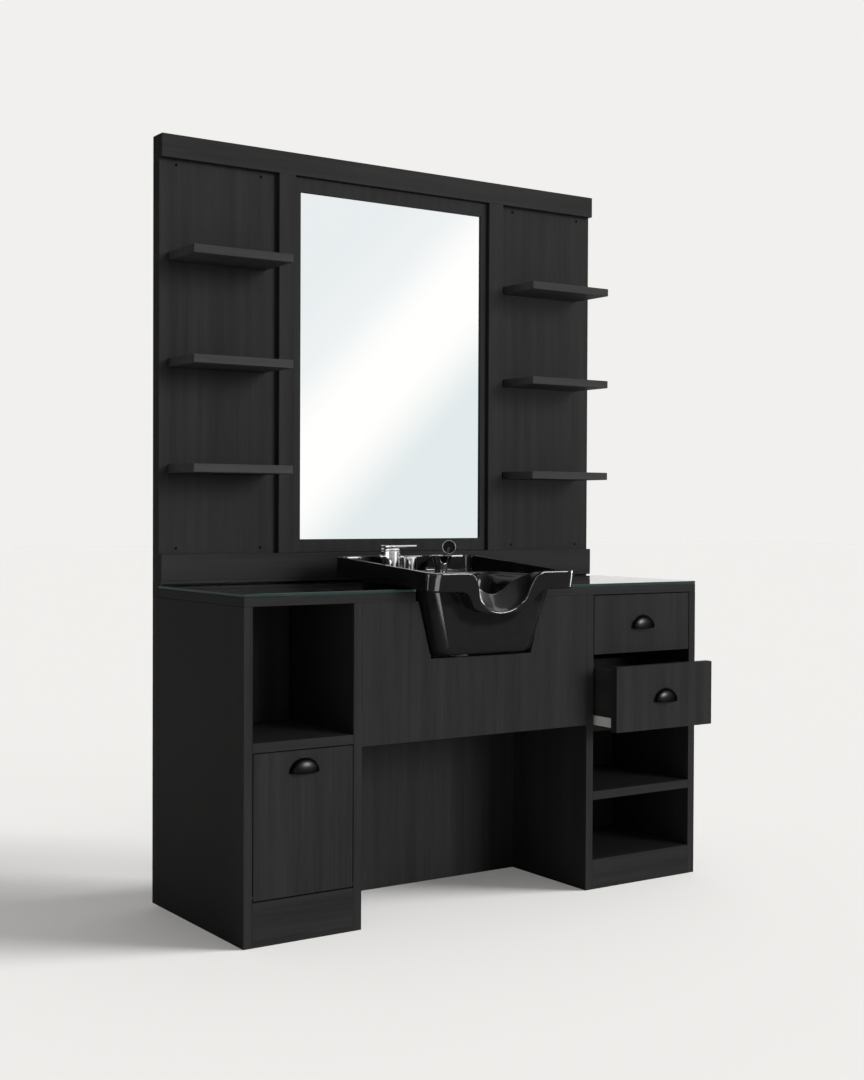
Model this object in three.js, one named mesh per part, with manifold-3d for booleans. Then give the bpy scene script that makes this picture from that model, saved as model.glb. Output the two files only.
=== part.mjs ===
// Salon station: two cabinets under a glass-covered worktop with a shampoo bowl, and a mirror wall with shelves.
// Millimetres, +Z up, the front faces -Y. The origin is on the floor under the middle of the whole object.
import * as THREE from "three";
import { mergeVertices } from "three/addons/utils/BufferGeometryUtils.js";
import Module from "manifold-3d";

const wasm = await Module();
wasm.setup();

// Overall sizes and the boards of the two cabinets
const WIDTH = 1524;
const HEIGHT = 2124;
const CABINET_DEPTH = 514;
const CARCASS_HEIGHT = 853;
const BOARD = 25;
const LEFT_CABINET_WIDTH = 343;
const RIGHT_CABINET_WIDTH = 424;
const LEFT_KICK_HEIGHT = 113;
const RIGHT_KICK_HEIGHT = 86;
const KICK_THICKNESS = 20;
const CUBBY_FLOOR_TOP = 512;
const RIGHT_SHELF_TOP = 284;
const DRAWER_FLOOR_TOP = 471;
const DRAWER_FLOOR_THICKNESS = 18;
const SERVICE_WALL_SETBACK = 350;
const SERVICE_WALL_THICKNESS = 12;
const ACCESS_PANEL_THICKNESS = 16;
const APRON_BOTTOM = 478;
const APRON_THICKNESS = 20;

// Worktop and the glass on it
const WORKTOP_THICKNESS = 24;
const GLASS_THICKNESS = 8;

// Mirror wall: full-height back boards, applied rails and stiles, mirror in its own frame
const WALL_BOARD = 40;
const BAY_BOARD_WIDTH = 390;
const RAIL_THICKNESS = 19;
const TOP_RAIL_HEIGHT = 64;
const BOTTOM_RAIL_HEIGHT = 74;
const RAIL_SHADOW_GAP = 12;
const STILE_WIDTH = 54;
const STILE_INSET = 363;
const FRAME_SETBACK = 13;
const FRAME_LIP = 6;
const FRAME_SIDE = 23;
const FRAME_TOP = 43;
const FRAME_BOTTOM = 38;
const FRAME_PLAY = 0.5;
const MIRROR_THICKNESS = 5;
const MIRROR_PACKING = 3;
const MIRROR_LAP = 8;

// Wall shelves, housed in pockets of the back boards
const SHELF_WIDTH = 302;
const SHELF_DEPTH = 164;
const SHELF_THICKNESS = 23;
const SHELF_TONGUE = 8;
const SHELF_TOP = 1804;
const SHELF_PITCH = 293;
const LEFT_SHELF_INSET = 28;
const RIGHT_SHELF_INSET = 52;
const HOUSING_PLAY = 0.3;

// Drawers, their sheet-metal runners and the cup pulls
const FRONT_REVEAL = 2.5;
const TOP_FRONT_BOTTOM = 680;
const LOWER_FRONT_BOTTOM = 465;
const LOWER_FRONT_HEIGHT = 187;
const LOWER_DRAWER_OPEN = 100;
const DRAWER_BOX_LENGTH = 310;
const DRAWER_BOX_RISE = 12;
const DRAWER_SIDE = 12;
const DRAWER_BASE = 6;
const RUNNER_SPACE = 12.5;
const RUNNER_SHEET = 1.5;
const RUNNER_LEG = 26;
const RUNNER_FOOT = 10;
const RUNNER_CLEARANCE = 2;
const ROLLER_RADIUS = 9;
const ROLLER_PLAY = 0.5;
const ROLLER_SETBACK = 14;
const AXLE_RADIUS = 3;
const PULL_WIDTH = 88;
const PULL_HEIGHT = 40;
const PULL_PROJECTION = 24;
const PULL_WALL = 3;
const PULL_PLATE = 2;
const PULL_ABOVE_MIDDLE = 5;

// Tilt-out hamper door, turning on two pins, with its bin
const DOOR_THICKNESS = 20;
const DOOR_BOTTOM_GAP = 4;
const DOOR_PULL_DROP = 18;
const PIVOT_RADIUS = 4;
const PIVOT_PLAY = 0.3;
const PIVOT_SETBACK = 8;
const PIVOT_RISE = 8;
const PIVOT_IN_SIDE = 12;
const PIVOT_IN_DOOR = 20;
const BIN_WALL = 3;
const BIN_END_INSET = 14;
const BIN_RISE = 20;
const BIN_BASE_DEPTH = 170;
const BIN_TOP_DEPTH = 225;
const BIN_REAR_HEIGHT = 215;
const BIN_FRONT_HEIGHT = 310;

// Shampoo bowl: heights count from the top of the glass, reaches from the front edge of the worktop.
// The whole bowl leans forward a little about the foot of its front, and its rear deck is cut level.
const BOWL_WIDTH = 486;
const BOWL_OFFSET = 6;
const BOWL_DEPTH = 515;
const BOWL_REACH = 115;
const BOWL_TILT = 0.04;
const BOWL_CORNER = 36;
const RIM_WIDTH = 15;
const RIM_FRONT_HEIGHT = 45;
const RIM_REAR_HEIGHT = 58;
const DECK_HEIGHT = 30;
const DECK_DEPTH = 114;
const SKIRT_DROP = 5;
const NECK_HALF_WIDTH = 82;
const NECK_SHOULDER = 46;
const NECK_DEPTH = 64;
const NECK_LIP_REACH = 94;
const NECK_RIDGE_REACH = 46;
const NECK_RIDGE_RISE = 46;
const SADDLE_THICKNESS = 16;
const TUB_TOP_WIDTH = 426;
const TUB_BOTTOM_WIDTH = 330;
const TUB_TOP_REACH = 52;
const TUB_BOTTOM_REACH = 40;
const TUB_DROP = 184;
const TUB_CORNER = 45;
const TUB_ROUND = 10;
const TUB_REAR_SLOPE = 20;
const BASIN_CORNER = 40;
const BOWL_WALL = 8;
const BOWL_FLOOR = 18;
const BOWL_CLEARANCE = 4;
const SEAT_GAP = 0.3;
const WEDGE_WIDTH = 300;
const WEDGE_DEPTH = 80;

// Waste: strainer, trap and its way through the service wall
const DRAIN_RADIUS = 24;
const DRAIN_FORWARD = 160;
const STRAINER_FLANGE = 34;
const STRAINER_THICKNESS = 3;
const STRAINER_TAIL = 10;
const STRAINER_SINK = 2;
const TRAP_RADIUS = 19;
const TRAP_DROP = 90;
const TRAP_BEND = 40;
const TRAP_RISE = 45;
const TRAP_PAST_WALL = 30;
const PIPE_CLEARANCE = 2;

// Tap on the rear deck of the bowl, places counted from the bowl's middle
const MIXER_SIDE = -89;
const MIXER_RADIUS = 28;
const MIXER_FLANGE = 32;
const MIXER_FLANGE_HEIGHT = 4;
const MIXER_HEIGHT = 63;
const CAP_HEIGHT = 9;
const LEVER_LENGTH = 116;
const LEVER_WIDTH = 26;
const LEVER_THICKNESS = 7;
const OUTLET_SIDE = -38;
const OUTLET_FORWARD = 22;
const OUTLET_RADIUS = 21;
const OUTLET_HEIGHT = 47;
const HOLDER_SIDE = 86;
const HOLDER_FOOT = 17;
const HOLDER_MOUTH = 33;
const HOLDER_HEIGHT = 48;
const HOLDER_WALL = 3;
const HANDLE_FOOT_RADIUS = 8;
const HANDLE_RADIUS = 10;
const HANDLE_LENGTH = 70;
const HANDLE_LEAN = 0.42;
const HEAD_RADIUS = 20;
const HEAD_THICKNESS = 22;
const HEAD_TURN = 0.5;
const HEAD_TIP = 0.15;

// Places worked out from the sizes above
const ROUND_STEPS = 24;
const rightInner = WIDTH - RIGHT_CABINET_WIDTH;
const bayLeft = [BOARD, LEFT_CABINET_WIDTH - BOARD];
const bayRight = [rightInner + BOARD, WIDTH - BOARD];
const kneehole = [LEFT_CABINET_WIDTH, rightInner];
const glassTop = CARCASS_HEIGHT + WORKTOP_THICKNESS + GLASS_THICKNESS;
const wallFront = CABINET_DEPTH;
const wallBack = wallFront + WALL_BOARD;
const railFront = wallFront - RAIL_THICKNESS;
const bowlMiddle = (kneehole[0] + kneehole[1]) / 2 + BOWL_OFFSET;
const bowlRear = BOWL_DEPTH - BOWL_REACH;
const basinRear = bowlRear - RIM_WIDTH - DECK_DEPTH;
const tubRear = basinRear + BOWL_WALL;
const deckTop = glassTop + DECK_HEIGHT;
const deckMiddle = bowlRear - RIM_WIDTH - DECK_DEPTH / 2;
const drainPlace = basinRear - DRAIN_FORWARD;
const bowlRise = (y) => (y + BOWL_REACH) * Math.tan(BOWL_TILT);
const drainSeat = glassTop - TUB_DROP + BOWL_FLOOR + bowlRise(drainPlace) - STRAINER_SINK;
const tubBottom = glassTop - TUB_DROP;
const trapWidth = 2 * TRAP_BEND;
const wastePipeHeight = tubBottom + bowlRise(drainPlace) - STRAINER_TAIL - TRAP_DROP + TRAP_RISE;
const doorBottom = LEFT_KICK_HEIGHT + DOOR_BOTTOM_GAP;
const doorTop = CUBBY_FLOOR_TOP - BOARD - FRONT_REVEAL;
const pivotHeight = doorBottom + PIVOT_RISE;
const frontReach = LOWER_DRAWER_OPEN + PULL_PROJECTION;

const FINISHES = {
  wood: { color: 0x211e1d, roughness: 0.55, metalness: 0 },
  lining: { color: 0x171615, roughness: 0.7, metalness: 0 },
  glass: { color: 0xbfd8cf, roughness: 0.03, metalness: 0, transparent: true, opacity: 0.35 },
  mirror: { color: 0xe6ecee, roughness: 0.02, metalness: 1 },
  bowl: { color: 0x0b0b0c, roughness: 0.12, metalness: 0 },
  chrome: { color: 0xd9dbde, roughness: 0.08, metalness: 1 },
  steel: { color: 0x9b9c9d, roughness: 0.4, metalness: 1 },
  pull: { color: 0x0d0d0e, roughness: 0.18, metalness: 0.6 },
  plastic: { color: 0x1a1a1b, roughness: 0.45, metalness: 0 },
  pipe: { color: 0xd8d8d4, roughness: 0.5, metalness: 0 },
};

// A named mesh with a material of its own
function piece(name, finish, geometry) {
  const mesh = new THREE.Mesh(geometry, new THREE.MeshStandardMaterial(FINISHES[finish]));
  mesh.name = name;
  return mesh;
}

// A rectangular board between two limits on each axis
function board(name, finish, x, y, z) {
  const size = [x, y, z].map(([low, high]) => high - low);
  const mesh = piece(name, finish, new THREE.BoxGeometry(...size));
  mesh.position.set((x[0] + x[1]) / 2, (y[0] + y[1]) / 2, (z[0] + z[1]) / 2);
  return mesh;
}

// A block between two limits on each axis, to be joined or cut
function block(x, y, z) {
  const geometry = new THREE.BoxGeometry(x[1] - x[0], y[1] - y[0], z[1] - z[0]);
  return geometry.translate((x[0] + x[1]) / 2, (y[0] + y[1]) / 2, (z[0] + z[1]) / 2);
}

// A rod along one axis, from one limit to the other
function rod(axis, radius, limits, centre) {
  const geometry = new THREE.CylinderGeometry(radius, radius, limits[1] - limits[0], ROUND_STEPS);
  const middle = (limits[0] + limits[1]) / 2;
  if (axis === "x") return geometry.rotateZ(Math.PI / 2).translate(middle, ...centre);
  if (axis === "y") return geometry.translate(centre[0], middle, centre[1]);
  return geometry.rotateX(Math.PI / 2).translate(...centre, middle);
}

// A flat outline given depth along one axis
function prism(axis, shape, limits) {
  const depth = limits[1] - limits[0];
  const geometry = new THREE.ExtrudeGeometry(shape, { depth, bevelEnabled: false, curveSegments: 10 });
  const x = new THREE.Vector3(1, 0, 0);
  const y = new THREE.Vector3(0, 1, 0);
  const z = new THREE.Vector3(0, 0, 1);
  if (axis === "x") {
    geometry.applyMatrix4(new THREE.Matrix4().makeBasis(y, z, x));
    return geometry.translate(limits[0], 0, 0);
  }
  if (axis === "y") {
    geometry.applyMatrix4(new THREE.Matrix4().makeBasis(x, z, y.negate()));
    return geometry.translate(0, limits[1], 0);
  }
  return geometry.translate(0, 0, limits[0]);
}

function outline(points) {
  return new THREE.Shape(points.map(([x, y]) => new THREE.Vector2(x, y)));
}

// A turned shape about +Z from its half profile of [radius, height] points, bottom to top
function turned(profile, x, y, z) {
  const points = profile.map(([radius, height]) => new THREE.Vector2(radius, height));
  return new THREE.LatheGeometry(points, ROUND_STEPS).rotateX(Math.PI / 2).translate(x, y, z);
}

function toSolid(geometry) {
  const bare = geometry.clone();
  bare.deleteAttribute("normal");
  bare.deleteAttribute("uv");
  const merged = mergeVertices(bare);
  const vertProperties = merged.attributes.position.array;
  const triVerts = new Uint32Array(merged.index.array);
  return new wasm.Manifold(new wasm.Mesh({ numProp: 3, vertProperties, triVerts }));
}

function toGeometry(solid) {
  const mesh = solid.getMesh();
  const geometry = new THREE.BufferGeometry();
  geometry.setAttribute("position", new THREE.BufferAttribute(mesh.vertProperties, 3));
  geometry.setIndex(new THREE.BufferAttribute(mesh.triVerts, 1));
  geometry.computeVertexNormals();
  return geometry;
}

function cut(geometry, ...tools) {
  return toGeometry(tools.reduce((rest, tool) => rest.subtract(toSolid(tool)), toSolid(geometry)));
}

function join(...geometries) {
  const [first, ...others] = geometries.map(toSolid);
  return toGeometry(others.reduce((sum, solid) => sum.add(solid), first));
}

function common(a, b) {
  return toGeometry(toSolid(a).intersect(toSolid(b)));
}

// A tub lofted through rounded rectangles, lowest first: { z, half, front, rear, corner }
function loft(rings) {
  const cornerSteps = 6;
  const loops = rings.map(({ z, half, front, rear, corner }) => {
    const centres = [
      [half - corner, rear - corner],
      [corner - half, rear - corner],
      [corner - half, front + corner],
      [half - corner, front + corner],
    ];
    return centres.flatMap(([x, y], quarter) =>
      Array.from({ length: cornerSteps + 1 }, (_, step) => {
        const angle = (quarter + step / cornerSteps) * (Math.PI / 2);
        return [bowlMiddle + x + corner * Math.cos(angle), y + corner * Math.sin(angle), z];
      }),
    );
  });
  return skin(loops, [0, 1]);
}

// A closed skin over flat loops of equal length, with flat ends. The loops run anticlockwise on the two axes
// of their plane, as seen from where the last one faces.
function skin(loops, [right, up]) {
  const count = loops[0].length;
  const index = [];
  for (let level = 0; level + 1 < loops.length; level += 1) {
    for (let i = 0; i < count; i += 1) {
      const a = level * count + i;
      const b = level * count + ((i + 1) % count);
      index.push(a, b, b + count, a, b + count, a + count);
    }
  }
  const contour = loops[0].map((point) => new THREE.Vector2(point[right], point[up]));
  const ends = THREE.ShapeUtils.triangulateShape(contour, []);
  const top = (loops.length - 1) * count;
  ends.forEach(([a, b, c]) => index.push(c, b, a, top + a, top + b, top + c));
  const geometry = new THREE.BufferGeometry();
  geometry.setAttribute("position", new THREE.Float32BufferAttribute(loops.flat(2), 3));
  geometry.setIndex(index);
  return geometry;
}

// Two open cabinets, the service wall behind them and the apron over the kneehole
function cabinets() {
  const group = new THREE.Group();
  const sideDepth = [0, CABINET_DEPTH];
  const innerDepth = [0, SERVICE_WALL_SETBACK];
  const behindKick = [KICK_THICKNESS, SERVICE_WALL_SETBACK];
  const sideHeight = [0, CARCASS_HEIGHT];
  const [pinHole, otherPinHole] = bayLeft.map((face, end) => {
    const outward = end === 0 ? -1 : 1;
    const limits = [face, face + outward * PIVOT_IN_SIDE].sort((a, b) => a - b);
    return rod("x", PIVOT_RADIUS + PIVOT_PLAY, limits, [PIVOT_SETBACK, pivotHeight]);
  });
  group.add(
    piece("left_outer_side", "wood", cut(block([0, BOARD], sideDepth, sideHeight), pinHole)),
    piece(
      "left_inner_side",
      "wood",
      cut(block([bayLeft[1], LEFT_CABINET_WIDTH], innerDepth, sideHeight), otherPinHole),
    ),
    board("right_inner_side", "wood", [rightInner, bayRight[0]], innerDepth, sideHeight),
    board("right_outer_side", "wood", [bayRight[1], WIDTH], sideDepth, sideHeight),
    board("left_kick", "wood", bayLeft, [0, KICK_THICKNESS], [0, LEFT_KICK_HEIGHT]),
    board("right_kick", "wood", bayRight, [0, KICK_THICKNESS], [0, RIGHT_KICK_HEIGHT]),
    board("left_bottom", "wood", bayLeft, behindKick, [LEFT_KICK_HEIGHT - BOARD, LEFT_KICK_HEIGHT]),
    board("right_bottom", "wood", bayRight, behindKick, [RIGHT_KICK_HEIGHT - BOARD, RIGHT_KICK_HEIGHT]),
    board("cubby_floor", "wood", bayLeft, innerDepth, [CUBBY_FLOOR_TOP - BOARD, CUBBY_FLOOR_TOP]),
    board("cabinet_shelf", "wood", bayRight, innerDepth, [RIGHT_SHELF_TOP - BOARD, RIGHT_SHELF_TOP]),
    board(
      "drawer_floor",
      "wood",
      bayRight,
      [BOARD + FRONT_REVEAL, SERVICE_WALL_SETBACK],
      [DRAWER_FLOOR_TOP - DRAWER_FLOOR_THICKNESS, DRAWER_FLOOR_TOP],
    ),
  );
  const serviceBoard = block(
    [BOARD, WIDTH - BOARD],
    [SERVICE_WALL_SETBACK, SERVICE_WALL_SETBACK + SERVICE_WALL_THICKNESS],
    sideHeight,
  );
  const throughWall = [SERVICE_WALL_SETBACK - 1, CABINET_DEPTH];
  const pipeHole = rod("y", TRAP_RADIUS + PIPE_CLEARANCE, throughWall, [bowlMiddle, wastePipeHeight]);
  group.add(piece("service_wall", "wood", cut(serviceBoard, pipeHole)));
  group.add(
    board(
      "rear_access_panel",
      "wood",
      [BAY_BOARD_WIDTH, WIDTH - BAY_BOARD_WIDTH],
      [wallBack - ACCESS_PANEL_THICKNESS, wallBack],
      sideHeight,
    ),
  );
  const apronBoard = block(kneehole, [0, APRON_THICKNESS], [APRON_BOTTOM, CARCASS_HEIGHT]);
  group.add(piece("apron", "wood", cut(apronBoard, tubOpening([-1, APRON_THICKNESS + 1]))));
  return group;
}

// The sloping-sided hole that the bowl's tub passes through in the apron
function tubOpening(depth) {
  const topHalf = TUB_TOP_WIDTH / 2 + BOWL_CLEARANCE;
  const bottomHalf = TUB_BOTTOM_WIDTH / 2 + BOWL_CLEARANCE;
  const bottom = tubBottom - BOWL_CLEARANCE;
  const shape = outline([
    [bowlMiddle - bottomHalf, bottom],
    [bowlMiddle + bottomHalf, bottom],
    [bowlMiddle + topHalf, glassTop],
    [bowlMiddle - topHalf, glassTop],
  ]);
  return prism("y", shape, depth);
}

// Wooden worktop and its glass, both cut open at the front for the bowl
function worktop() {
  const group = new THREE.Group();
  const half = TUB_TOP_WIDTH / 2 + BOWL_CLEARANCE;
  const gap = block(
    [bowlMiddle - half, bowlMiddle + half],
    [-BOWL_REACH, tubRear + BOWL_CLEARANCE],
    [CARCASS_HEIGHT - 1, glassTop + 1],
  );
  const plate = (low, high) => cut(block([0, WIDTH], [0, CABINET_DEPTH], [low, high]), gap);
  const woodTop = CARCASS_HEIGHT + WORKTOP_THICKNESS;
  group.add(piece("worktop", "wood", plate(CARCASS_HEIGHT, woodTop)));
  group.add(piece("glass_top", "glass", plate(woodTop, glassTop)));
  return group;
}

// The wall: two bay boards from the floor up, the mirror between them, rails and stiles over the joints
function mirrorWall() {
  const group = new THREE.Group();
  const wall = [wallFront, wallBack];
  const rail = [railFront, wallFront];
  const railLow = glassTop + RAIL_SHADOW_GAP;
  const fieldLow = railLow + BOTTOM_RAIL_HEIGHT;
  const fieldHigh = HEIGHT - TOP_RAIL_HEIGHT;
  const rightStile = WIDTH - STILE_INSET - STILE_WIDTH;
  const pockets = shelfPlaces().map(({ x, z }) => {
    const [width, height] = [x, z].map(([low, high]) => [low - HOUSING_PLAY, high + HOUSING_PLAY]);
    return block(width, [wallFront - 1, wallFront + SHELF_TONGUE], height);
  });
  const bayBoard = (x) => cut(block(x, wall, [0, HEIGHT]), ...pockets);
  group.add(
    piece("left_bay_panel", "wood", bayBoard([0, BAY_BOARD_WIDTH])),
    piece("right_bay_panel", "wood", bayBoard([WIDTH - BAY_BOARD_WIDTH, WIDTH])),
    board("top_rail", "wood", [0, WIDTH], rail, [fieldHigh, HEIGHT]),
    board("bottom_rail", "wood", [0, WIDTH], rail, [railLow, fieldLow]),
    board("left_stile", "wood", [STILE_INSET, STILE_INSET + STILE_WIDTH], rail, [fieldLow, fieldHigh]),
    board("right_stile", "wood", [rightStile, rightStile + STILE_WIDTH], rail, [fieldLow, fieldHigh]),
  );

  const frameFront = railFront + FRAME_SETBACK;
  const mirrorFront = frameFront + FRAME_LIP;
  const frameBack = mirrorFront + MIRROR_THICKNESS + MIRROR_PACKING;
  const frameX = [STILE_INSET + STILE_WIDTH + FRAME_PLAY, rightStile - FRAME_PLAY];
  const frameZ = [fieldLow + FRAME_PLAY, fieldHigh - FRAME_PLAY];
  const sightX = [frameX[0] + FRAME_SIDE, frameX[1] - FRAME_SIDE];
  const sightZ = [frameZ[0] + FRAME_BOTTOM, frameZ[1] - FRAME_TOP];
  const grown = ([low, high], by) => [low - by, high + by];
  const rebate = block(
    grown(sightX, MIRROR_LAP + FRAME_PLAY),
    [mirrorFront, frameBack + 1],
    grown(sightZ, MIRROR_LAP + FRAME_PLAY),
  );
  const frame = block(frameX, [frameFront, frameBack], frameZ);
  const sight = block(sightX, [frameFront - 1, frameBack + 1], sightZ);
  group.add(
    piece("mirror_frame", "wood", cut(frame, sight, rebate)),
    board(
      "mirror_glass",
      "mirror",
      grown(sightX, MIRROR_LAP),
      [mirrorFront, mirrorFront + MIRROR_THICKNESS],
      grown(sightZ, MIRROR_LAP),
    ),
    board(
      "mirror_backer",
      "wood",
      [BAY_BOARD_WIDTH, WIDTH - BAY_BOARD_WIDTH],
      [Math.max(frameBack, wallFront), wallBack],
      [CARCASS_HEIGHT, HEIGHT],
    ),
  );
  return group;
}

// Left and right columns of shelves, top shelf first
function shelfPlaces() {
  const columns = {
    left: LEFT_SHELF_INSET,
    right: WIDTH - RIGHT_SHELF_INSET - SHELF_WIDTH,
  };
  return Object.entries(columns).flatMap(([side, start]) =>
    ["upper", "middle", "lower"].map((level, row) => {
      const top = SHELF_TOP - row * SHELF_PITCH;
      const name = `${side}_shelf_${level}`;
      return { name, x: [start, start + SHELF_WIDTH], z: [top - SHELF_THICKNESS, top] };
    }),
  );
}

function wallShelves() {
  const group = new THREE.Group();
  const depth = [wallFront - SHELF_DEPTH, wallFront + SHELF_TONGUE];
  shelfPlaces().forEach(({ name, x, z }) => group.add(board(name, "wood", x, depth, z)));
  return group;
}

// Half-moon cup pull, open below, on a plate against the front it is screwed to
function cupPull(name, x, z) {
  const half = PULL_WIDTH / 2;
  const dome = (shrink) =>
    new THREE.SphereGeometry(1, ROUND_STEPS, ROUND_STEPS / 2).scale(
      half - shrink,
      PULL_PROJECTION - shrink,
      PULL_HEIGHT - shrink,
    );
  const front = block([-PULL_WIDTH, PULL_WIDTH], [-PULL_WIDTH, 0], [0, PULL_WIDTH]);
  const shell = common(cut(dome(0), dome(PULL_WALL)), front);
  const plateShape = new THREE.Shape();
  plateShape.absellipse(0, 0, half, PULL_HEIGHT, 0, Math.PI, false, 0);
  const plate = prism("y", plateShape, [-PULL_PLATE, 0]);
  return piece(name, "pull", join(shell, plate).translate(x, 0, z));
}

// One drawer with its front, box, cup pull and both halves of its two runners
function drawer(name, frontBottom, frontTop, open) {
  const group = new THREE.Group();
  const moving = new THREE.Group();
  moving.position.y = -open;
  const boxX = [bayRight[0] + RUNNER_SPACE, bayRight[1] - RUNNER_SPACE];
  const boxY = [BOARD, BOARD + DRAWER_BOX_LENGTH];
  const boxZ = [frontBottom + DRAWER_BOX_RISE, frontTop - DRAWER_BOX_RISE];
  const hollow = block(
    [boxX[0] + DRAWER_SIDE, boxX[1] - DRAWER_SIDE],
    [boxY[0] + DRAWER_SIDE, boxY[1] - DRAWER_SIDE],
    [boxZ[0] + DRAWER_BASE, boxZ[1] + 1],
  );
  const middle = (bayRight[0] + bayRight[1]) / 2;
  const pullFoot = (frontBottom + frontTop) / 2 + PULL_ABOVE_MIDDLE - PULL_HEIGHT / 2;
  moving.add(
    board(
      `${name}_front`,
      "wood",
      [bayRight[0] + FRONT_REVEAL, bayRight[1] - FRONT_REVEAL],
      [0, BOARD],
      [frontBottom, frontTop],
    ),
    piece(`${name}_box`, "lining", cut(block(boxX, boxY, boxZ), hollow)),
    cupPull(`${name}_pull`, middle, pullFoot),
  );
  const rollerHeight = boxZ[0] + RUNNER_LEG / 2;
  const runnerY = [boxY[0], boxY[1]];
  ["left", "right"].forEach((side, index) => {
    const outward = index === 0 ? -1 : 1;
    const span = (from, reach) => [from, from + outward * reach].sort((a, b) => a - b);
    const face = boxX[index];
    const wall = bayRight[index];
    const leg = block(span(face, RUNNER_SHEET), runnerY, [boxZ[0] - RUNNER_SHEET, boxZ[0] + RUNNER_LEG]);
    const foot = block(
      span(face + outward * RUNNER_SHEET, -RUNNER_SHEET - RUNNER_FOOT),
      runnerY,
      [boxZ[0] - RUNNER_SHEET, boxZ[0]],
    );
    const axlePlace = [boxY[1] - ROLLER_SETBACK, rollerHeight];
    const legFace = face + outward * RUNNER_SHEET;
    const channelReach = RUNNER_SPACE - RUNNER_SHEET - RUNNER_CLEARANCE;
    const rollerInner = wall - outward * channelReach;
    const rollerOuter = wall - outward * (RUNNER_SHEET + ROLLER_PLAY);
    const ordered = (a, b) => [Math.min(a, b), Math.max(a, b)];
    const axle = rod("x", AXLE_RADIUS, ordered(legFace - outward * RUNNER_SHEET / 2, rollerOuter), axlePlace);
    const roller = rod("x", ROLLER_RADIUS, ordered(rollerInner, rollerOuter), axlePlace);
    moving.add(piece(`${name}_runner_${side}`, "steel", join(leg, foot, axle, roller)));

    const channelHalf = ROLLER_RADIUS + ROLLER_PLAY + RUNNER_SHEET;
    const channelY = [FRONT_REVEAL + BOARD, SERVICE_WALL_SETBACK];
    const channelZ = [rollerHeight - channelHalf, rollerHeight + channelHalf];
    const channel = block(span(wall, -channelReach), channelY, channelZ);
    const groove = block(
      span(wall - outward * RUNNER_SHEET, -channelReach),
      [channelY[0] - 1, channelY[1] + 1],
      [channelZ[0] + RUNNER_SHEET, channelZ[1] - RUNNER_SHEET],
    );
    group.add(piece(`${name}_channel_${side}`, "steel", cut(channel, groove)));
  });
  group.add(moving);
  return group;
}

// Tilt-out door in the left cabinet, its pins in the cabinet sides and the bin on its back
function hamper() {
  const group = new THREE.Group();
  const doorX = [bayLeft[0] + FRONT_REVEAL, bayLeft[1] - FRONT_REVEAL];
  const pivot = [PIVOT_SETBACK, pivotHeight];
  const bores = doorX.map((face, end) => {
    const inward = end === 0 ? 1 : -1;
    const limits = [face - inward, face + inward * (PIVOT_IN_DOOR + 1)].sort((a, b) => a - b);
    return rod("x", PIVOT_RADIUS + PIVOT_PLAY, limits, pivot);
  });
  const slab = block(doorX, [0, DOOR_THICKNESS], [doorBottom, doorTop]);
  group.add(piece("hamper_door", "wood", cut(slab, ...bores)));
  bayLeft.forEach((face, end) => {
    const inward = end === 0 ? 1 : -1;
    const limits = [face - inward * PIVOT_IN_SIDE, doorX[end] + inward * PIVOT_IN_DOOR];
    const pin = rod("x", PIVOT_RADIUS, limits.sort((a, b) => a - b), pivot);
    group.add(piece(end === 0 ? "hamper_pin_left" : "hamper_pin_right", "steel", pin));
  });
  group.add(
    cupPull("hamper_pull", (doorX[0] + doorX[1]) / 2, doorTop - DOOR_PULL_DROP - PULL_HEIGHT),
  );

  const binFloor = doorBottom + BIN_RISE;
  const binX = [doorX[0] + BIN_END_INSET, doorX[1] - BIN_END_INSET];
  const back = DOOR_THICKNESS;
  const shell = outline([
    [back, binFloor],
    [back + BIN_BASE_DEPTH, binFloor],
    [back + BIN_TOP_DEPTH, binFloor + BIN_REAR_HEIGHT],
    [back, binFloor + BIN_FRONT_HEIGHT],
  ]);
  const slope = (BIN_TOP_DEPTH - BIN_BASE_DEPTH) / BIN_REAR_HEIGHT;
  const above = BIN_FRONT_HEIGHT + BIN_WALL;
  const hollow = outline([
    [back + BIN_WALL, binFloor + BIN_WALL],
    [back + BIN_BASE_DEPTH - BIN_WALL, binFloor + BIN_WALL],
    [back + BIN_BASE_DEPTH - BIN_WALL + slope * above, binFloor + BIN_WALL + above],
    [back + BIN_WALL, binFloor + BIN_WALL + above],
  ]);
  const inside = prism("x", hollow, [binX[0] + BIN_WALL, binX[1] - BIN_WALL]);
  group.add(piece("hamper_bin", "plastic", cut(prism("x", shell, binX), inside)));
  return group;
}

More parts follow.
